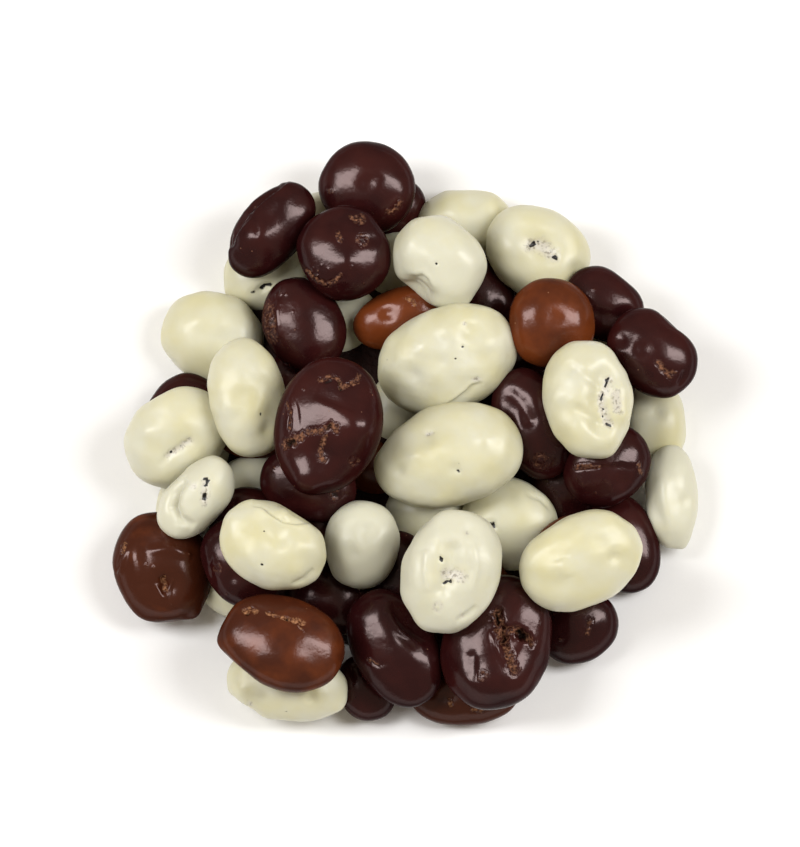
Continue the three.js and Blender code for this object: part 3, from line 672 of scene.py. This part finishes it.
def inside(near, width, solid, edge, ragged=0.0):
    """1 in a mark's solid middle and 0 past its edge, both as shares of its half width."""
    return 1 - soften((near.away / width - solid + ragged * near.grain) / edge)


def scar(near, width, depth):
    """Torn coat: a ragged trough with crumbs in it."""
    torn = inside(near, width, solid=0.6, edge=0.9, ragged=0.45)
    return -torn * depth * (1 - 0.5 * near.grain), torn, 0


def thin(near, width, depth):
    """Coat so thin that the fruit greys it."""
    grey = inside(near, width, solid=0.3, edge=1.2, ragged=0.3)
    return -grey * depth, 0.9 * grey, 0


def patch(near, width, depth):
    """A dusty or thin place, level with the coat."""
    return 0, 0.42 * inside(near, width, solid=0.4, edge=1, ragged=0.3), 0


def rough(near, width, depth):
    """A place where the coat is broken into grains."""
    broken = inside(near, width, solid=0.3, edge=0.9)
    return broken * depth * near.grain, 0.6 * broken * soften(1.6 * near.grain - 0.7), 0


def ring(near, width, depth):
    """A round groove, as the stalk end leaves."""
    groove = hill(near.away - width, 0.45 * width)
    return -depth * groove * (1 + 0.5 * near.grain), 0.6 * groove * soften(0.8 + near.grain), 0


def hole(near, width, depth):
    """An opening through to the fruit."""
    opened = inside(near, width, solid=0.5, edge=0.8, ragged=0.35)
    return -depth * opened, 0, opened


MARKS = {
    "crease": crease, "ridge": ridge, "fold": fold, "dimple": dimple, "bump": bump, "scar": scar,
    "bare": thin, "patch": patch, "rough": rough, "ring": ring, "hole": hole, "pin": hole,
}

# ---- the uneven coat ----

RIPPLE_LENGTH = 4.2       # of the soft waves all over a coat, from crest to crest
PEEL_HEIGHT = {"dark": 0.012, "milk": 0.01, "white": 0.016}    # of the finer unevenness on them
PEEL_LENGTH = 1.5
GRAIN_LENGTH = 0.7        # of the crumbs and ridges inside a scar
WAVE_COUNT = 14
WAVE_SPREAD = (0.7, 1.5)  # the shortest and the longest wave, as shares of the length asked for
COAT_SEEDS = 1000         # keep the coat's and the tone's chances apart from the shape's
TONE_SEEDS = 2000
CHANCE_TONE = 0.3         # how much warmer or duller a raisin may be by chance


def waves(points, length, chance):
    """Irregular waves of about the given length through space, mostly from -1 to 1."""
    height = np.zeros(len(points))
    for _ in range(WAVE_COUNT):
        way = chance_direction(chance)
        step = 2 * math.pi / (length * chance.between(*WAVE_SPREAD))
        height += np.sin(step * (points @ way) + chance.between(0, 2 * math.pi))
    return height / math.sqrt(2 * WAVE_COUNT)


def from_path(points, path, grain):
    """Where points lie from a path, both in the view."""
    path = np.array(path, dtype=float)
    if len(path) == 1:
        away = np.linalg.norm(points - path[0], axis=1)
        return Near(away, away, np.full(len(points), 0.5), grain)
    lengths = np.linalg.norm(path[1:] - path[:-1], axis=1)
    passed = np.concatenate(([0], np.cumsum(lengths))) / lengths.sum()
    away = np.full(len(points), np.inf)
    aside, along = np.zeros((2, len(points)))
    for number, (start, end) in enumerate(zip(path[:-1], path[1:])):
        way = (end - start) / lengths[number]
        share = np.clip((points - start) @ way / lengths[number], 0, 1)
        offset = points - start - share[:, None] * (end - start)
        distance = np.linalg.norm(offset, axis=1)
        closer = distance < away
        away[closer] = distance[closer]
        aside[closer] = (offset @ np.array((way[1], -way[0])))[closer]
        along[closer] = (passed[number] + share * (passed[number + 1] - passed[number]))[closer]
    return Near(away, aside, along, grain)


def coat(raisin, points, ripple):
    """Relief of the coat in millimetres, and how bare and how holed it is, at points of the skin.

    The marks are those that the eye sees, so they fade out where a raisin turns away from it.
    """
    chance = Chance(raisin.seed + COAT_SEEDS)
    relief = ripple * waves(points, RIPPLE_LENGTH, chance)
    relief += PEEL_HEIGHT[raisin.laid.coat] * waves(points, PEEL_LENGTH, chance)
    grain = waves(points, GRAIN_LENGTH, chance)
    bare, holed = np.zeros((2, len(points)))
    seen = points @ VIEW.T
    front = soften(0.5 + 2 * seen[:, 2] / raisin.size[2])
    for kind, width, depth, *path in raisin.laid.marks:
        near = from_path(seen[:, :2], path, grain)
        change, bared, opened = MARKS[kind](near, width, depth)
        relief += front * change
        bare = np.maximum(bare, front * bared)
        holed = np.maximum(holed, front * opened)
    return relief, bare, holed


# ---- meshes ----

TRIANGLES = 190000        # for all the raisins of one coat
ICOSAHEDRON_SIDES = 20
FEWEST_PARTS = 6          # into which a side of the icosahedron is split
MOST_PARTS = 34


@cache
def geodesic(parts):
    """Directions and triangles of an icosahedron with each side split into parts."""
    mesh = bpy.data.meshes.new("icosahedron")
    build = bmesh.new()
    bmesh.ops.create_icosphere(build, subdivisions=1, radius=1)
    build.to_mesh(mesh)
    build.free()
    corners = np.array([corner.co[:] for corner in mesh.vertices])
    faces = [tuple(face.vertices) for face in mesh.polygons]
    bpy.data.meshes.remove(mesh)
    grid = [(i, j) for i in range(parts + 1) for j in range(parts + 1 - i)]
    place = {spot: number for number, spot in enumerate(grid)}
    shares = np.array([(parts - i - j, i, j) for i, j in grid]) / parts
    upright = [(place[i, j], place[i + 1, j], place[i, j + 1]) for i, j in grid if i + j < parts]
    turned = [(place[i + 1, j], place[i + 1, j + 1], place[i, j + 1])
              for i, j in grid if i + j < parts - 1]
    pattern = np.array(upright + turned)
    points = np.concatenate([shares @ corners[list(face)] for face in faces])
    triangles = np.concatenate([pattern + number * len(grid) for number in range(len(faces))])
    _, first, same = np.unique(points.round(6), axis=0, return_index=True, return_inverse=True)
    directions = points[first] / np.linalg.norm(points[first], axis=1)[:, None]
    return directions, same.ravel()[triangles]


def shares_of(raisins):
    """Into how many parts each raisin's icosahedron is split, for the coat's triangles in all."""
    whole = sum(raisin.share * raisin.reach**2 for raisin in raisins)
    for raisin in raisins:
        triangles = TRIANGLES * raisin.share * raisin.reach**2 / whole
        yield min(max(int(math.sqrt(triangles / ICOSAHEDRON_SIDES)), FEWEST_PARTS), MOST_PARTS)


def raisin_mesh(raisin, parts, ripple):
    """Points in millimetres from the heap's middle, triangles, and the coat's values there."""
    directions, triangles = geodesic(parts)
    points = raisin.skin(directions)
    outward = raisin.outward(points)
    relief, bare, holed = coat(raisin, points, ripple)
    points = points + outward * relief[:, None] + raisin.centre - HEAP_MIDDLE
    points[:, 2] = np.maximum(points[:, 2], 0)
    chance_tone = Chance(raisin.seed + TONE_SEEDS).between(-CHANCE_TONE, CHANCE_TONE)
    tone = np.full(len(points), raisin.laid.tone + chance_tone)
    return points, triangles, {"bare": bare, "holed": holed, "tone": tone}


def add_object(name, points, triangles, values=None):
    """A smooth mesh object from points in millimetres, with a value for each point by name."""
    mesh = bpy.data.meshes.new(name)
    mesh.from_pydata((points * MM).tolist(), [], triangles.tolist())
    for key, value in (values or {}).items():
        mesh.attributes.new(key, "FLOAT", "POINT").data.foreach_set("value", value)
    mesh.shade_smooth()
    made = bpy.data.objects.new(name, mesh)
    bpy.context.scene.collection.objects.link(made)
    return made


def add_raisins(coat_name, ripple):
    """All the raisins of one coat, joined into one piece, with soft waves as high as ripple."""
    raisins = [raisin for raisin in heap() if raisin.laid.coat == coat_name]
    made = [raisin_mesh(raisin, parts, ripple)
            for raisin, parts in zip(raisins, shares_of(raisins))]
    starts = np.cumsum([0] + [len(points) for points, _, _ in made])
    points = np.concatenate([points for points, _, _ in made])
    triangles = np.concatenate([faces + start for start, (_, faces, _) in zip(starts, made)])
    values = {key: np.concatenate([value[key] for _, _, value in made]) for key in made[0][2]}
    piece = add_object(coat_name + "_raisins", points, triangles, values)
    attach(piece, BODY)
    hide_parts(NODE)
    return piece


CORE_BLUNTNESS = 4        # 2 would make its section a half ellipse
CORE_SIDES = 72
CORE_STEPS = 14           # rings of points from its foot to its top


def add_core(radius, height):
    """The low mound that shuts the gaps between the lowest raisins; its material colours it near black as
    painted shade.
    """
    rings = []
    around = np.arange(CORE_SIDES) * 2 * math.pi / CORE_SIDES
    for step in range(CORE_STEPS):
        turn = step / CORE_STEPS * math.pi / 2
        reach = radius * math.cos(turn) ** (2 / CORE_BLUNTNESS)
        level = height * math.sin(turn) ** (2 / CORE_BLUNTNESS)
        rings.append(np.stack(
            (reach * np.cos(around), reach * np.sin(around), np.full(CORE_SIDES, level)), axis=1))
    points = np.concatenate(rings + [[(0, 0, height)], [(0, 0, 0)]])
    top, foot = len(points) - 2, len(points) - 1
    side = np.arange(CORE_SIDES)
    after = (side + 1) % CORE_SIDES
    triangles = [np.stack((after, side, np.full(CORE_SIDES, foot)), axis=1)]
    for step in range(CORE_STEPS - 1):
        low, high = step * CORE_SIDES, (step + 1) * CORE_SIDES
        triangles.append(np.stack((low + side, low + after, high + after), axis=1))
        triangles.append(np.stack((low + side, high + after, high + side), axis=1))
    last = (CORE_STEPS - 1) * CORE_SIDES
    triangles.append(np.stack((last + side, last + after, np.full(CORE_SIDES, top)), axis=1))
    piece = add_object("heap_core", points, np.concatenate(triangles))
    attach(piece, BODY)
    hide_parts(NODE)
    return piece


# ---- materials ----


def linear(hex_colour):
    """An sRGB hex colour as linear red, green, blue and alpha."""
    shades = [int(hex_colour[i:i + 2], 16) / 255 for i in (1, 3, 5)]
    return (*(s / 12.92 if s <= 0.04045 else ((s + 0.055) / 1.055) ** 2.4 for s in shades), 1)


def add_node(tree, kind, inputs, result=0, **settings):
    """Adds a node with its settings and links, and gives the output that result names."""
    node = tree.nodes.new("ShaderNode" + kind)
    for name, value in settings.items():
        setattr(node, name, value)
    for name, value in inputs.items():
        if isinstance(value, bpy.types.NodeSocket):
            tree.links.new(value, node.inputs[name])
        else:
            node.inputs[name].default_value = value
    return node.outputs[result]


# A mix node has sockets of the same name for each type of value. These are the ones for colours.
SHARE, FIRST, SECOND = 0, 6, 7
MIXED = 2

HOLE = "#0d0704"
HAZE = "#ffe6e3"          # the glaze's thin haze of cocoa butter warms what it mirrors
TONE_WEIGHT = 0.25        # how far a raisin's tone shifts its blotches towards the warmer colour


def new_material(name):
    """An empty material, and the coordinates of its piece in metres."""
    material = bpy.data.materials.new(name)
    material.use_nodes = True
    material.node_tree.nodes.clear()
    return material, add_node(material.node_tree, "TexCoord", {}, "Object")


def finish_material(material, relief, surface):
    """Gives the material its surface, with relief in millimetres."""
    tree = material.node_tree
    normal = add_node(tree, "Bump", {"Height": relief, "Distance": MM, "Strength": 1})
    shader = add_node(tree, "BsdfPrincipled", {"Normal": normal, **surface})
    output = tree.nodes.new("ShaderNodeOutputMaterial")
    tree.links.new(shader, output.inputs["Surface"])
    return material


def coated_colour(tree, place, blotch, body, warmer):
    """The coat's own colour, with warmer blotches that are blotch millimetres wide."""
    blotches = add_node(tree, "TexNoise", {
        "Vector": place, "Scale": 1 / (blotch * MM), "Detail": 3})
    tone = add_node(tree, "Attribute", {}, "Fac", attribute_name="tone")
    toned = add_node(tree, "Math", {0: tone, 1: TONE_WEIGHT, 2: blotches}, operation="MULTIPLY_ADD")
    varied = add_node(tree, "MapRange", {"Value": toned, "From Min": 0.3, "From Max": 0.7})
    return add_node(tree, "Mix", {
        SHARE: varied, FIRST: body, SECOND: linear(warmer)}, MIXED, data_type="RGBA")


def specks(tree, place, spacing, radius, share):
    """Round specks: 1 inside them, for a share of cells that lie about spacing millimetres apart."""
    rim = radius / spacing
    cells = add_node(tree, "TexVoronoi", {"Vector": place, "Scale": 1 / (spacing * MM)}).node
    within = add_node(tree, "MapRange", {
        "Value": cells.outputs["Distance"], "From Min": 0.6 * rim, "From Max": rim,
        "To Min": 1, "To Max": 0})
    luck = add_node(tree, "SeparateColor", {"Color": cells.outputs["Color"]}, "Red")
    chosen = add_node(tree, "Math", {0: luck, 1: share}, operation="LESS_THAN")
    return add_node(tree, "Math", {0: within, 1: chosen}, operation="MULTIPLY")


# ---- glazed dark and milk chocolate ----

GLAZE_BLOTCH = 5          # millimetres, as are all the sizes of patterns
CRUMB = 0.42              # broken chocolate in a torn place
CRUMB_HEIGHT = 0.35
DUST_SPACING = 1.6
DUST_RADIUS = 0.13
DUST_SHARE = 0.16
DUST_STRENGTH = 0.5       # how far a speck hides the coat's colour
GLAZE_GRAIN = 0.5         # the fine unevenness that tumbling leaves in the glaze
GLAZE_GRAIN_HEIGHT = 0.022


class Shades(NamedTuple):
    """Colours of a glazed coat beside its own: in warmer blotches, and of torn crumbs, whose
    crests get painted light and whose hollows get painted shade.
    """

    warmer: str
    crumbs: str
    crumbs_in_painted_shade: str


DARK_SHADES = Shades("#341311", "#8f644c", "#2c120b")
MILK_SHADES = Shades("#673115", "#a97a58", "#46200f")


def glazed_chocolate(name, body, shades):
    """Dark or milk chocolate, panned onto raisins in a turning drum and glazed with shellac.

    The drum rolls it smooth but not even, so that lamps show as bright patches with soft, wavy
    edges. Where a coat tore, it is dull, coppery and crumbly, its crumbs painted lighter on their
    crests and darker in the hollows between them as painted shade. Fine dust clings to it as pale specks.
    """
    material, place = new_material(name)
    tree = material.node_tree
    crumb_colour = linear(shades.crumbs)

    # where it is torn: a ragged share of where the mesh says that it is bare
    bare = add_node(tree, "Attribute", {}, "Fac", attribute_name="bare")
    holed = add_node(tree, "Attribute", {}, "Fac", attribute_name="holed")
    crumbs = add_node(tree, "TexNoise", {"Vector": place, "Scale": 1 / (CRUMB * MM), "Detail": 4})
    uneven = add_node(tree, "MapRange", {
        "Value": crumbs, "From Min": 0.3, "From Max": 0.7, "To Min": 0.3, "To Max": 1.5})
    ragged = add_node(tree, "Math", {0: bare, 1: uneven}, operation="MULTIPLY")
    torn = add_node(tree, "MapRange", {"Value": ragged, "From Min": 0.15, "From Max": 1.1})
    dust = specks(tree, place, DUST_SPACING, DUST_RADIUS, DUST_SHARE)

    coated = coated_colour(tree, place, GLAZE_BLOTCH, body, shades.warmer)
    # painted highlight and shade over the crumbs' own copper: lighter where the crumb noise lifts them,
    # darker in the hollows
    crumb_painted_light = add_node(tree, "MapRange", {"Value": crumbs, "From Min": 0.38, "From Max": 0.68})
    crumbly = add_node(tree, "Mix", {
        SHARE: crumb_painted_light, FIRST: linear(shades.crumbs_in_painted_shade), SECOND: crumb_colour},
        MIXED, data_type="RGBA")
    colour = add_node(tree, "Mix", {
        SHARE: torn, FIRST: coated, SECOND: crumbly}, MIXED, data_type="RGBA")
    pale = add_node(tree, "Math", {0: dust, 1: DUST_STRENGTH}, operation="MULTIPLY")
    colour = add_node(tree, "Mix", {
        SHARE: pale, FIRST: colour, SECOND: crumb_colour}, MIXED, data_type="RGBA")
    colour = add_node(tree, "Mix", {
        SHARE: holed, FIRST: colour, SECOND: linear(HOLE)}, MIXED, data_type="RGBA")

    # the glaze mirrors a lamp well, but the floor and the room at its rim hardly
    dull = add_node(tree, "Math", {0: holed, 1: dust}, operation="MAXIMUM")
    dull = add_node(tree, "Math", {0: torn, 1: dull}, operation="MAXIMUM")
    roughness = add_node(tree, "MapRange", {"Value": dull, "To Min": 0.2, "To Max": 0.42})
    edge = add_node(tree, "LayerWeight", {"Blend": 0.5}, "Facing")
    glazed = add_node(tree, "MapRange", {
        "Value": edge, "From Min": 0.12, "From Max": 0.45, "To Min": 0.5, "To Max": 0.02})
    kept = add_node(tree, "MapRange", {"Value": dull, "To Min": 1, "To Max": 0.8})
    shine = add_node(tree, "Math", {0: glazed, 1: kept}, operation="MULTIPLY")
    tint = add_node(tree, "Mix", {
        SHARE: torn, FIRST: linear(HAZE), SECOND: crumb_colour}, MIXED, data_type="RGBA")

    grain = add_node(tree, "TexNoise", {
        "Vector": place, "Scale": 1 / (GLAZE_GRAIN * MM), "Detail": 3})
    bare_crumbs = add_node(tree, "Math", {0: crumbs, 1: bare}, operation="MULTIPLY")
    crumble = add_node(tree, "Math", {0: bare_crumbs, 1: CRUMB_HEIGHT}, operation="MULTIPLY")
    relief = add_node(tree, "Math", {
        0: grain, 1: GLAZE_GRAIN_HEIGHT, 2: crumble}, operation="MULTIPLY_ADD")
    return finish_material(material, relief, {
        "Base Color": colour, "Roughness": roughness, "IOR": 1.45,
        "Specular IOR Level": shine, "Specular Tint": tint})


# ---- white chocolate ----

WHITE_BLOTCH = 6
WHITE_WARMER = "#cac49c"
GREYED = "#c6c1b4"        # where the coat is thin, and its fine cracks
GREYED_CRACKS = "#8f887c"
CRACK = 0.5
PORE = "#8d8468"
PORE_SPACING = 2.6
PORE_RADIUS = 0.12
PORE_SHARE = 0.1
PORE_STRENGTH = 0.45
PORE_DEPTH = 0.05
HOLE_FRAY = 0.3           # unevenness of a hole's rim
HOLE_FRAY_STRENGTH = 0.5
SHEEN = 3                 # how wide the glossier and the duller places are
WHITE_GRAIN = 1.1
WHITE_GRAIN_HEIGHT = 0.02
LIGHT_DEPTH = 1.2         # how far light gets into it


def panned_white_chocolate(body):
    """White chocolate, panned and lightly glazed.

    Cocoa butter and milk make it ivory, a little translucent and only softly shiny. Where it is
    thin the fruit greys it, and where it is open the fruit shows nearly black.
    """
    material, place = new_material("panned_white_chocolate")
    tree = material.node_tree

    coated = coated_colour(tree, place, WHITE_BLOTCH, body, WHITE_WARMER)
    bare = add_node(tree, "Attribute", {}, "Fac", attribute_name="bare")
    cracks = add_node(tree, "TexNoise", {"Vector": place, "Scale": 1 / (CRACK * MM), "Detail": 3})
    cracked = add_node(tree, "MapRange", {"Value": cracks, "From Min": 0.52, "From Max": 0.62})
    greyed = add_node(tree, "Mix", {
        SHARE: cracked, FIRST: linear(GREYED), SECOND: linear(GREYED_CRACKS)},
        MIXED, data_type="RGBA")
    colour = add_node(tree, "Mix", {
        SHARE: bare, FIRST: coated, SECOND: greyed}, MIXED, data_type="RGBA")

    pores = specks(tree, place, PORE_SPACING, PORE_RADIUS, PORE_SHARE)
    faint = add_node(tree, "Math", {0: pores, 1: PORE_STRENGTH}, operation="MULTIPLY")
    colour = add_node(tree, "Mix", {
        SHARE: faint, FIRST: colour, SECOND: linear(PORE)}, MIXED, data_type="RGBA")

    holed = add_node(tree, "Attribute", {}, "Fac", attribute_name="holed")
    fray = add_node(tree, "TexNoise", {"Vector": place, "Scale": 1 / (HOLE_FRAY * MM), "Detail": 2})
    frayed = add_node(tree, "Math", {
        0: fray, 1: HOLE_FRAY_STRENGTH, 2: holed}, operation="MULTIPLY_ADD")
    open_fruit = add_node(tree, "MapRange", {"Value": frayed, "From Min": 0.55, "From Max": 0.8})
    colour = add_node(tree, "Mix", {
        SHARE: open_fruit, FIRST: colour, SECOND: linear(HOLE)}, MIXED, data_type="RGBA")

    sheen = add_node(tree, "TexNoise", {"Vector": place, "Scale": 1 / (SHEEN * MM), "Detail": 2})
    roughness = add_node(tree, "MapRange", {
        "Value": sheen, "From Min": 0.3, "From Max": 0.7, "To Min": 0.3, "To Max": 0.42})
    grain = add_node(tree, "TexNoise", {
        "Vector": place, "Scale": 1 / (WHITE_GRAIN * MM), "Detail": 2})
    pits = add_node(tree, "Math", {0: pores, 1: -PORE_DEPTH}, operation="MULTIPLY")
    relief = add_node(tree, "Math", {
        0: grain, 1: WHITE_GRAIN_HEIGHT, 2: pits}, operation="MULTIPLY_ADD")
    return finish_material(material, relief, {
        "Base Color": colour, "Roughness": roughness, "IOR": 1.46, "Subsurface Weight": 0.2,
        "Subsurface Radius": (1, 0.85, 0.5), "Subsurface Scale": LIGHT_DEPTH * MM})


# ---- the core, coloured near black as painted shade ----

CORE_GRAIN = 0.8
CORE_GRAIN_HEIGHT = 0.5
# painted shade: the two near-black colours of the mound that shows in the gaps
CORE_SHADE_DARK = "#120806"
CORE_SHADE_LIGHT = "#2a1511"


def painted_shade_core_material():
    """Near-black colour for the mound seen in the gaps between the sweets: painted shade.

    Matt and barely mirroring, so that the gaps stay nearly black.
    """
    material, place = new_material("painted_shade_core")
    tree = material.node_tree
    core_grain = add_node(tree, "TexNoise", {"Vector": place, "Scale": 1 / (CORE_GRAIN * MM), "Detail": 4})
    colour = add_node(tree, "Mix", {
        SHARE: core_grain, FIRST: linear(CORE_SHADE_DARK), SECOND: linear(CORE_SHADE_LIGHT)},
        MIXED, data_type="RGBA")
    roughness = add_node(tree, "MapRange", {"Value": core_grain, "To Min": 0.6, "To Max": 0.85})
    relief = add_node(tree, "Math", {0: core_grain, 1: CORE_GRAIN_HEIGHT}, operation="MULTIPLY")
    # it barely mirrors anything, so that the painted shade in the gaps stays dark
    return finish_material(material, relief, {
        "Base Color": colour, "Roughness": roughness, "IOR": 1.5, "Specular IOR Level": 0.12})


# ---- the studio ----

PHOTO_SIZE = (800, 847)
PHOTO_SCALE = 0.145       # millimetres for each pixel of the photo
LAYOUT_ZERO_PIXEL = (405, 433)
CAMERA_DISTANCE = 3000    # far off, so that the view is nearly without perspective
CAMERA_REACH = 100        # metres
FOCUS_HEIGHT = 12         # along the line of sight, where PHOTO_SCALE holds
SENSOR = 36
LAMP_WAY = (0.62, 0.2, 0.759)      # right, up and towards the eye, mirrored for the other lamp
LAMP_DISTANCE = 600
LAMP_SIZE = (205, 430)
ROOM = "#fff0dc"          # warm white walls
FLOOR_SIZE = 6000


def in_view(right, up, eye):
    """A place or direction given as the eye sees it, in the heap's own axes."""
    return right * RIGHT + up * UP + eye * EYE


def add_camera():
    data = bpy.data.cameras.new("camera")
    camera = bpy.data.objects.new("camera", data)
    bpy.context.scene.collection.objects.link(camera)
    bpy.context.scene.camera = camera
    right = (PHOTO_SIZE[0] / 2 - LAYOUT_ZERO_PIXEL[0]) * PHOTO_SCALE
    up = (LAYOUT_ZERO_PIXEL[1] - PHOTO_SIZE[1] / 2) * PHOTO_SCALE
    place = in_view(right, up, FOCUS_HEIGHT + CAMERA_DISTANCE) - HEAP_MIDDLE
    camera.location = Vector(place * MM)
    camera.rotation_euler = (math.pi / 2 - RISE, 0, 0)
    data.sensor_fit = "VERTICAL"
    data.sensor_height = SENSOR
    data.lens = SENSOR * CAMERA_DISTANCE / (PHOTO_SIZE[1] * PHOTO_SCALE)
    data.clip_end = CAMERA_REACH


def add_lamp(name, side, power):
    """One of the two soft boxes, on the left (-1) or the right (1)."""
    way = in_view(side * LAMP_WAY[0], *LAMP_WAY[1:])
    data = bpy.data.lights.new(name, "AREA")
    data.shape = "RECTANGLE"
    data.size, data.size_y = (length * MM for length in LAMP_SIZE)
    data.energy = power
    lamp = bpy.data.objects.new(name, data)
    lamp.location = Vector(way * LAMP_DISTANCE * MM)
    lamp.rotation_euler = Vector(way).to_track_quat("Z", "Y").to_euler()
    bpy.context.scene.collection.objects.link(lamp)


PAPER_FIBRE = 0.5         # coarser than real fibres, so that they show
PAPER_FIBRE_HEIGHT = 0.01
PAPER_FIBRE_SHADE = 0.98  # how light the darker fibres are beside the paper


def matt_paper(colour):
    """Uncoated white paper, which spreads light evenly and mirrors next to nothing."""
    material, place = new_material("matt_white_paper")
    tree = material.node_tree
    fibres = add_node(tree, "TexNoise", {
        "Vector": place, "Scale": 1 / (PAPER_FIBRE * MM), "Detail": 3})
    darker = [PAPER_FIBRE_SHADE * channel for channel in colour]
    shade = add_node(tree, "Mix", {
        SHARE: fibres, FIRST: (*colour, 1), SECOND: (*darker, 1)}, MIXED, data_type="RGBA")
    roughness = add_node(tree, "MapRange", {"Value": fibres, "To Min": 0.85, "To Max": 0.95})
    relief = add_node(tree, "Math", {0: fibres, 1: PAPER_FIBRE_HEIGHT}, operation="MULTIPLY")
    return finish_material(material, relief, {
        "Base Color": shade, "Roughness": roughness, "IOR": 1.45})


def add_floor(colour):
    """The sheet of paper that the heap lies on."""
    half = FLOOR_SIZE / 2
    corners = np.array([(-half, -half, 0), (half, -half, 0), (half, half, 0), (-half, half, 0)])
    floor = add_object("floor", corners, np.array([(0, 1, 2), (0, 2, 3)]))
    floor.data.materials.append(matt_paper(colour))


def light_the_room(colour, strength):
    world = bpy.data.worlds.new("studio")
    bpy.context.scene.world = world
    world.use_nodes = True
    background = world.node_tree.nodes["Background"]
    background.inputs["Color"].default_value = (*colour, 1)
    background.inputs["Strength"].default_value = strength


# ---- settings, operators and panel ----


def colour_property(name, description, hex_colour):
    return FloatVectorProperty(name=name, description=description, subtype="COLOR", size=3,
                               min=0, max=1, default=linear(hex_colour)[:3])


def size_property(name, description, millimetres):
    return FloatProperty(name=name, description=description, subtype="DISTANCE", unit="LENGTH",
                         min=0, precision=6, default=millimetres * MM)


class RaisinSettings(bpy.types.PropertyGroup):
    """The coats, and the mound inside the heap."""

    dark: colour_property("Dark coat", "Colour of the dark chocolate", "#250b0c")
    milk: colour_property("Milk coat", "Colour of the milk chocolate", "#3f1c0f")
    white: colour_property("White coat", "Colour of the white chocolate", "#cdcbb6")
    dark_ripple: size_property("Dark ripples", "Height of the dark coat's soft waves", 0.055)
    milk_ripple: size_property("Milk ripples", "Height of the milk coat's soft waves", 0.05)
    white_ripple: size_property("White ripples", "Height of the white coat's soft waves", 0.15)
    core_radius: size_property("Core radius", "Radius of the mound inside the heap", 31)
    core_height: size_property("Core height", "Height of the mound inside the heap", 5)


class StudioSettings(bpy.types.PropertyGroup):
    """The floor and the light."""

    floor: colour_property("Floor", "Colour of the paper under the heap", "#fafafa")
    lamp_power: FloatProperty(name="Soft boxes", description="Power of each soft box",
                              default=2.75, min=0, subtype="POWER")
    room: FloatProperty(name="Room light", description="Strength of the even light all round",
                        default=0.3, min=0)


class RAISINS_OT_dark(bpy.types.Operator):
    """Make the dark chocolate raisins"""

    bl_idname = "raisins.dark"
    bl_label = "Dark raisins"

    def execute(self, context):
        settings = context.scene.raisin_settings
        piece = add_raisins("dark", settings.dark_ripple / MM)
        piece.data.materials.append(
            glazed_chocolate("glazed_dark_chocolate", (*settings.dark, 1), DARK_SHADES))
        return {"FINISHED"}


class RAISINS_OT_milk(bpy.types.Operator):
    """Make the milk chocolate raisins"""

    bl_idname = "raisins.milk"
    bl_label = "Milk raisins"

    def execute(self, context):
        settings = context.scene.raisin_settings
        piece = add_raisins("milk", settings.milk_ripple / MM)
        piece.data.materials.append(
            glazed_chocolate("glazed_milk_chocolate", (*settings.milk, 1), MILK_SHADES))
        return {"FINISHED"}


class RAISINS_OT_white(bpy.types.Operator):
    """Make the white chocolate raisins"""

    bl_idname = "raisins.white"
    bl_label = "White raisins"

    def execute(self, context):
        settings = context.scene.raisin_settings
        piece = add_raisins("white", settings.white_ripple / MM)
        piece.data.materials.append(panned_white_chocolate((*settings.white, 1)))
        return {"FINISHED"}


class RAISINS_OT_core(bpy.types.Operator):
    """Make the low mound inside the heap"""

    bl_idname = "raisins.core"
    bl_label = "Core"

    def execute(self, context):
        settings = context.scene.raisin_settings
        piece = add_core(settings.core_radius / MM, settings.core_height / MM)
        piece.data.materials.append(painted_shade_core_material())
        return {"FINISHED"}


class RAISINS_OT_stage(bpy.types.Operator):
    """Set up the floor, the soft boxes and the camera"""

    bl_idname = "raisins.stage"
    bl_label = "Studio"

    def execute(self, context):
        studio = context.scene.studio_settings
        add_floor(studio.floor)
        add_lamp("left_soft_box", -1, studio.lamp_power)
        add_lamp("right_soft_box", 1, studio.lamp_power)
        light_the_room(linear(ROOM)[:3], studio.room)
        add_camera()
        context.scene.view_settings.view_transform = "Standard"
        return {"FINISHED"}


OPERATORS = (RAISINS_OT_dark, RAISINS_OT_milk, RAISINS_OT_white, RAISINS_OT_core, RAISINS_OT_stage)


class RAISINS_PT_panel(bpy.types.Panel):
    """Settings and steps of the heap"""

    bl_label = "Raisins"
    bl_space_type = "VIEW_3D"
    bl_region_type = "UI"
    bl_category = "Raisins"

    def draw(self, context):
        for group in (context.scene.raisin_settings, context.scene.studio_settings):
            for name in group.__annotations__:
                self.layout.prop(group, name)
        for operator in OPERATORS:
            self.layout.operator(operator.bl_idname)


CLASSES = (RaisinSettings, StudioSettings, *OPERATORS, RAISINS_PT_panel)


def register():
    for entry in CLASSES:
        bpy.utils.register_class(entry)
    bpy.types.Scene.raisin_settings = PointerProperty(type=RaisinSettings)
    bpy.types.Scene.studio_settings = PointerProperty(type=StudioSettings)


def unregister():
    del bpy.types.Scene.studio_settings
    del bpy.types.Scene.raisin_settings
    for entry in reversed(CLASSES):
        bpy.utils.unregister_class(entry)


def main():
    register()
    bpy.ops.raisins.dark()
    bpy.ops.raisins.milk()
    bpy.ops.raisins.white()
    bpy.ops.raisins.core()
    bpy.ops.raisins.stage()


if __name__ == "__main__":
    main()
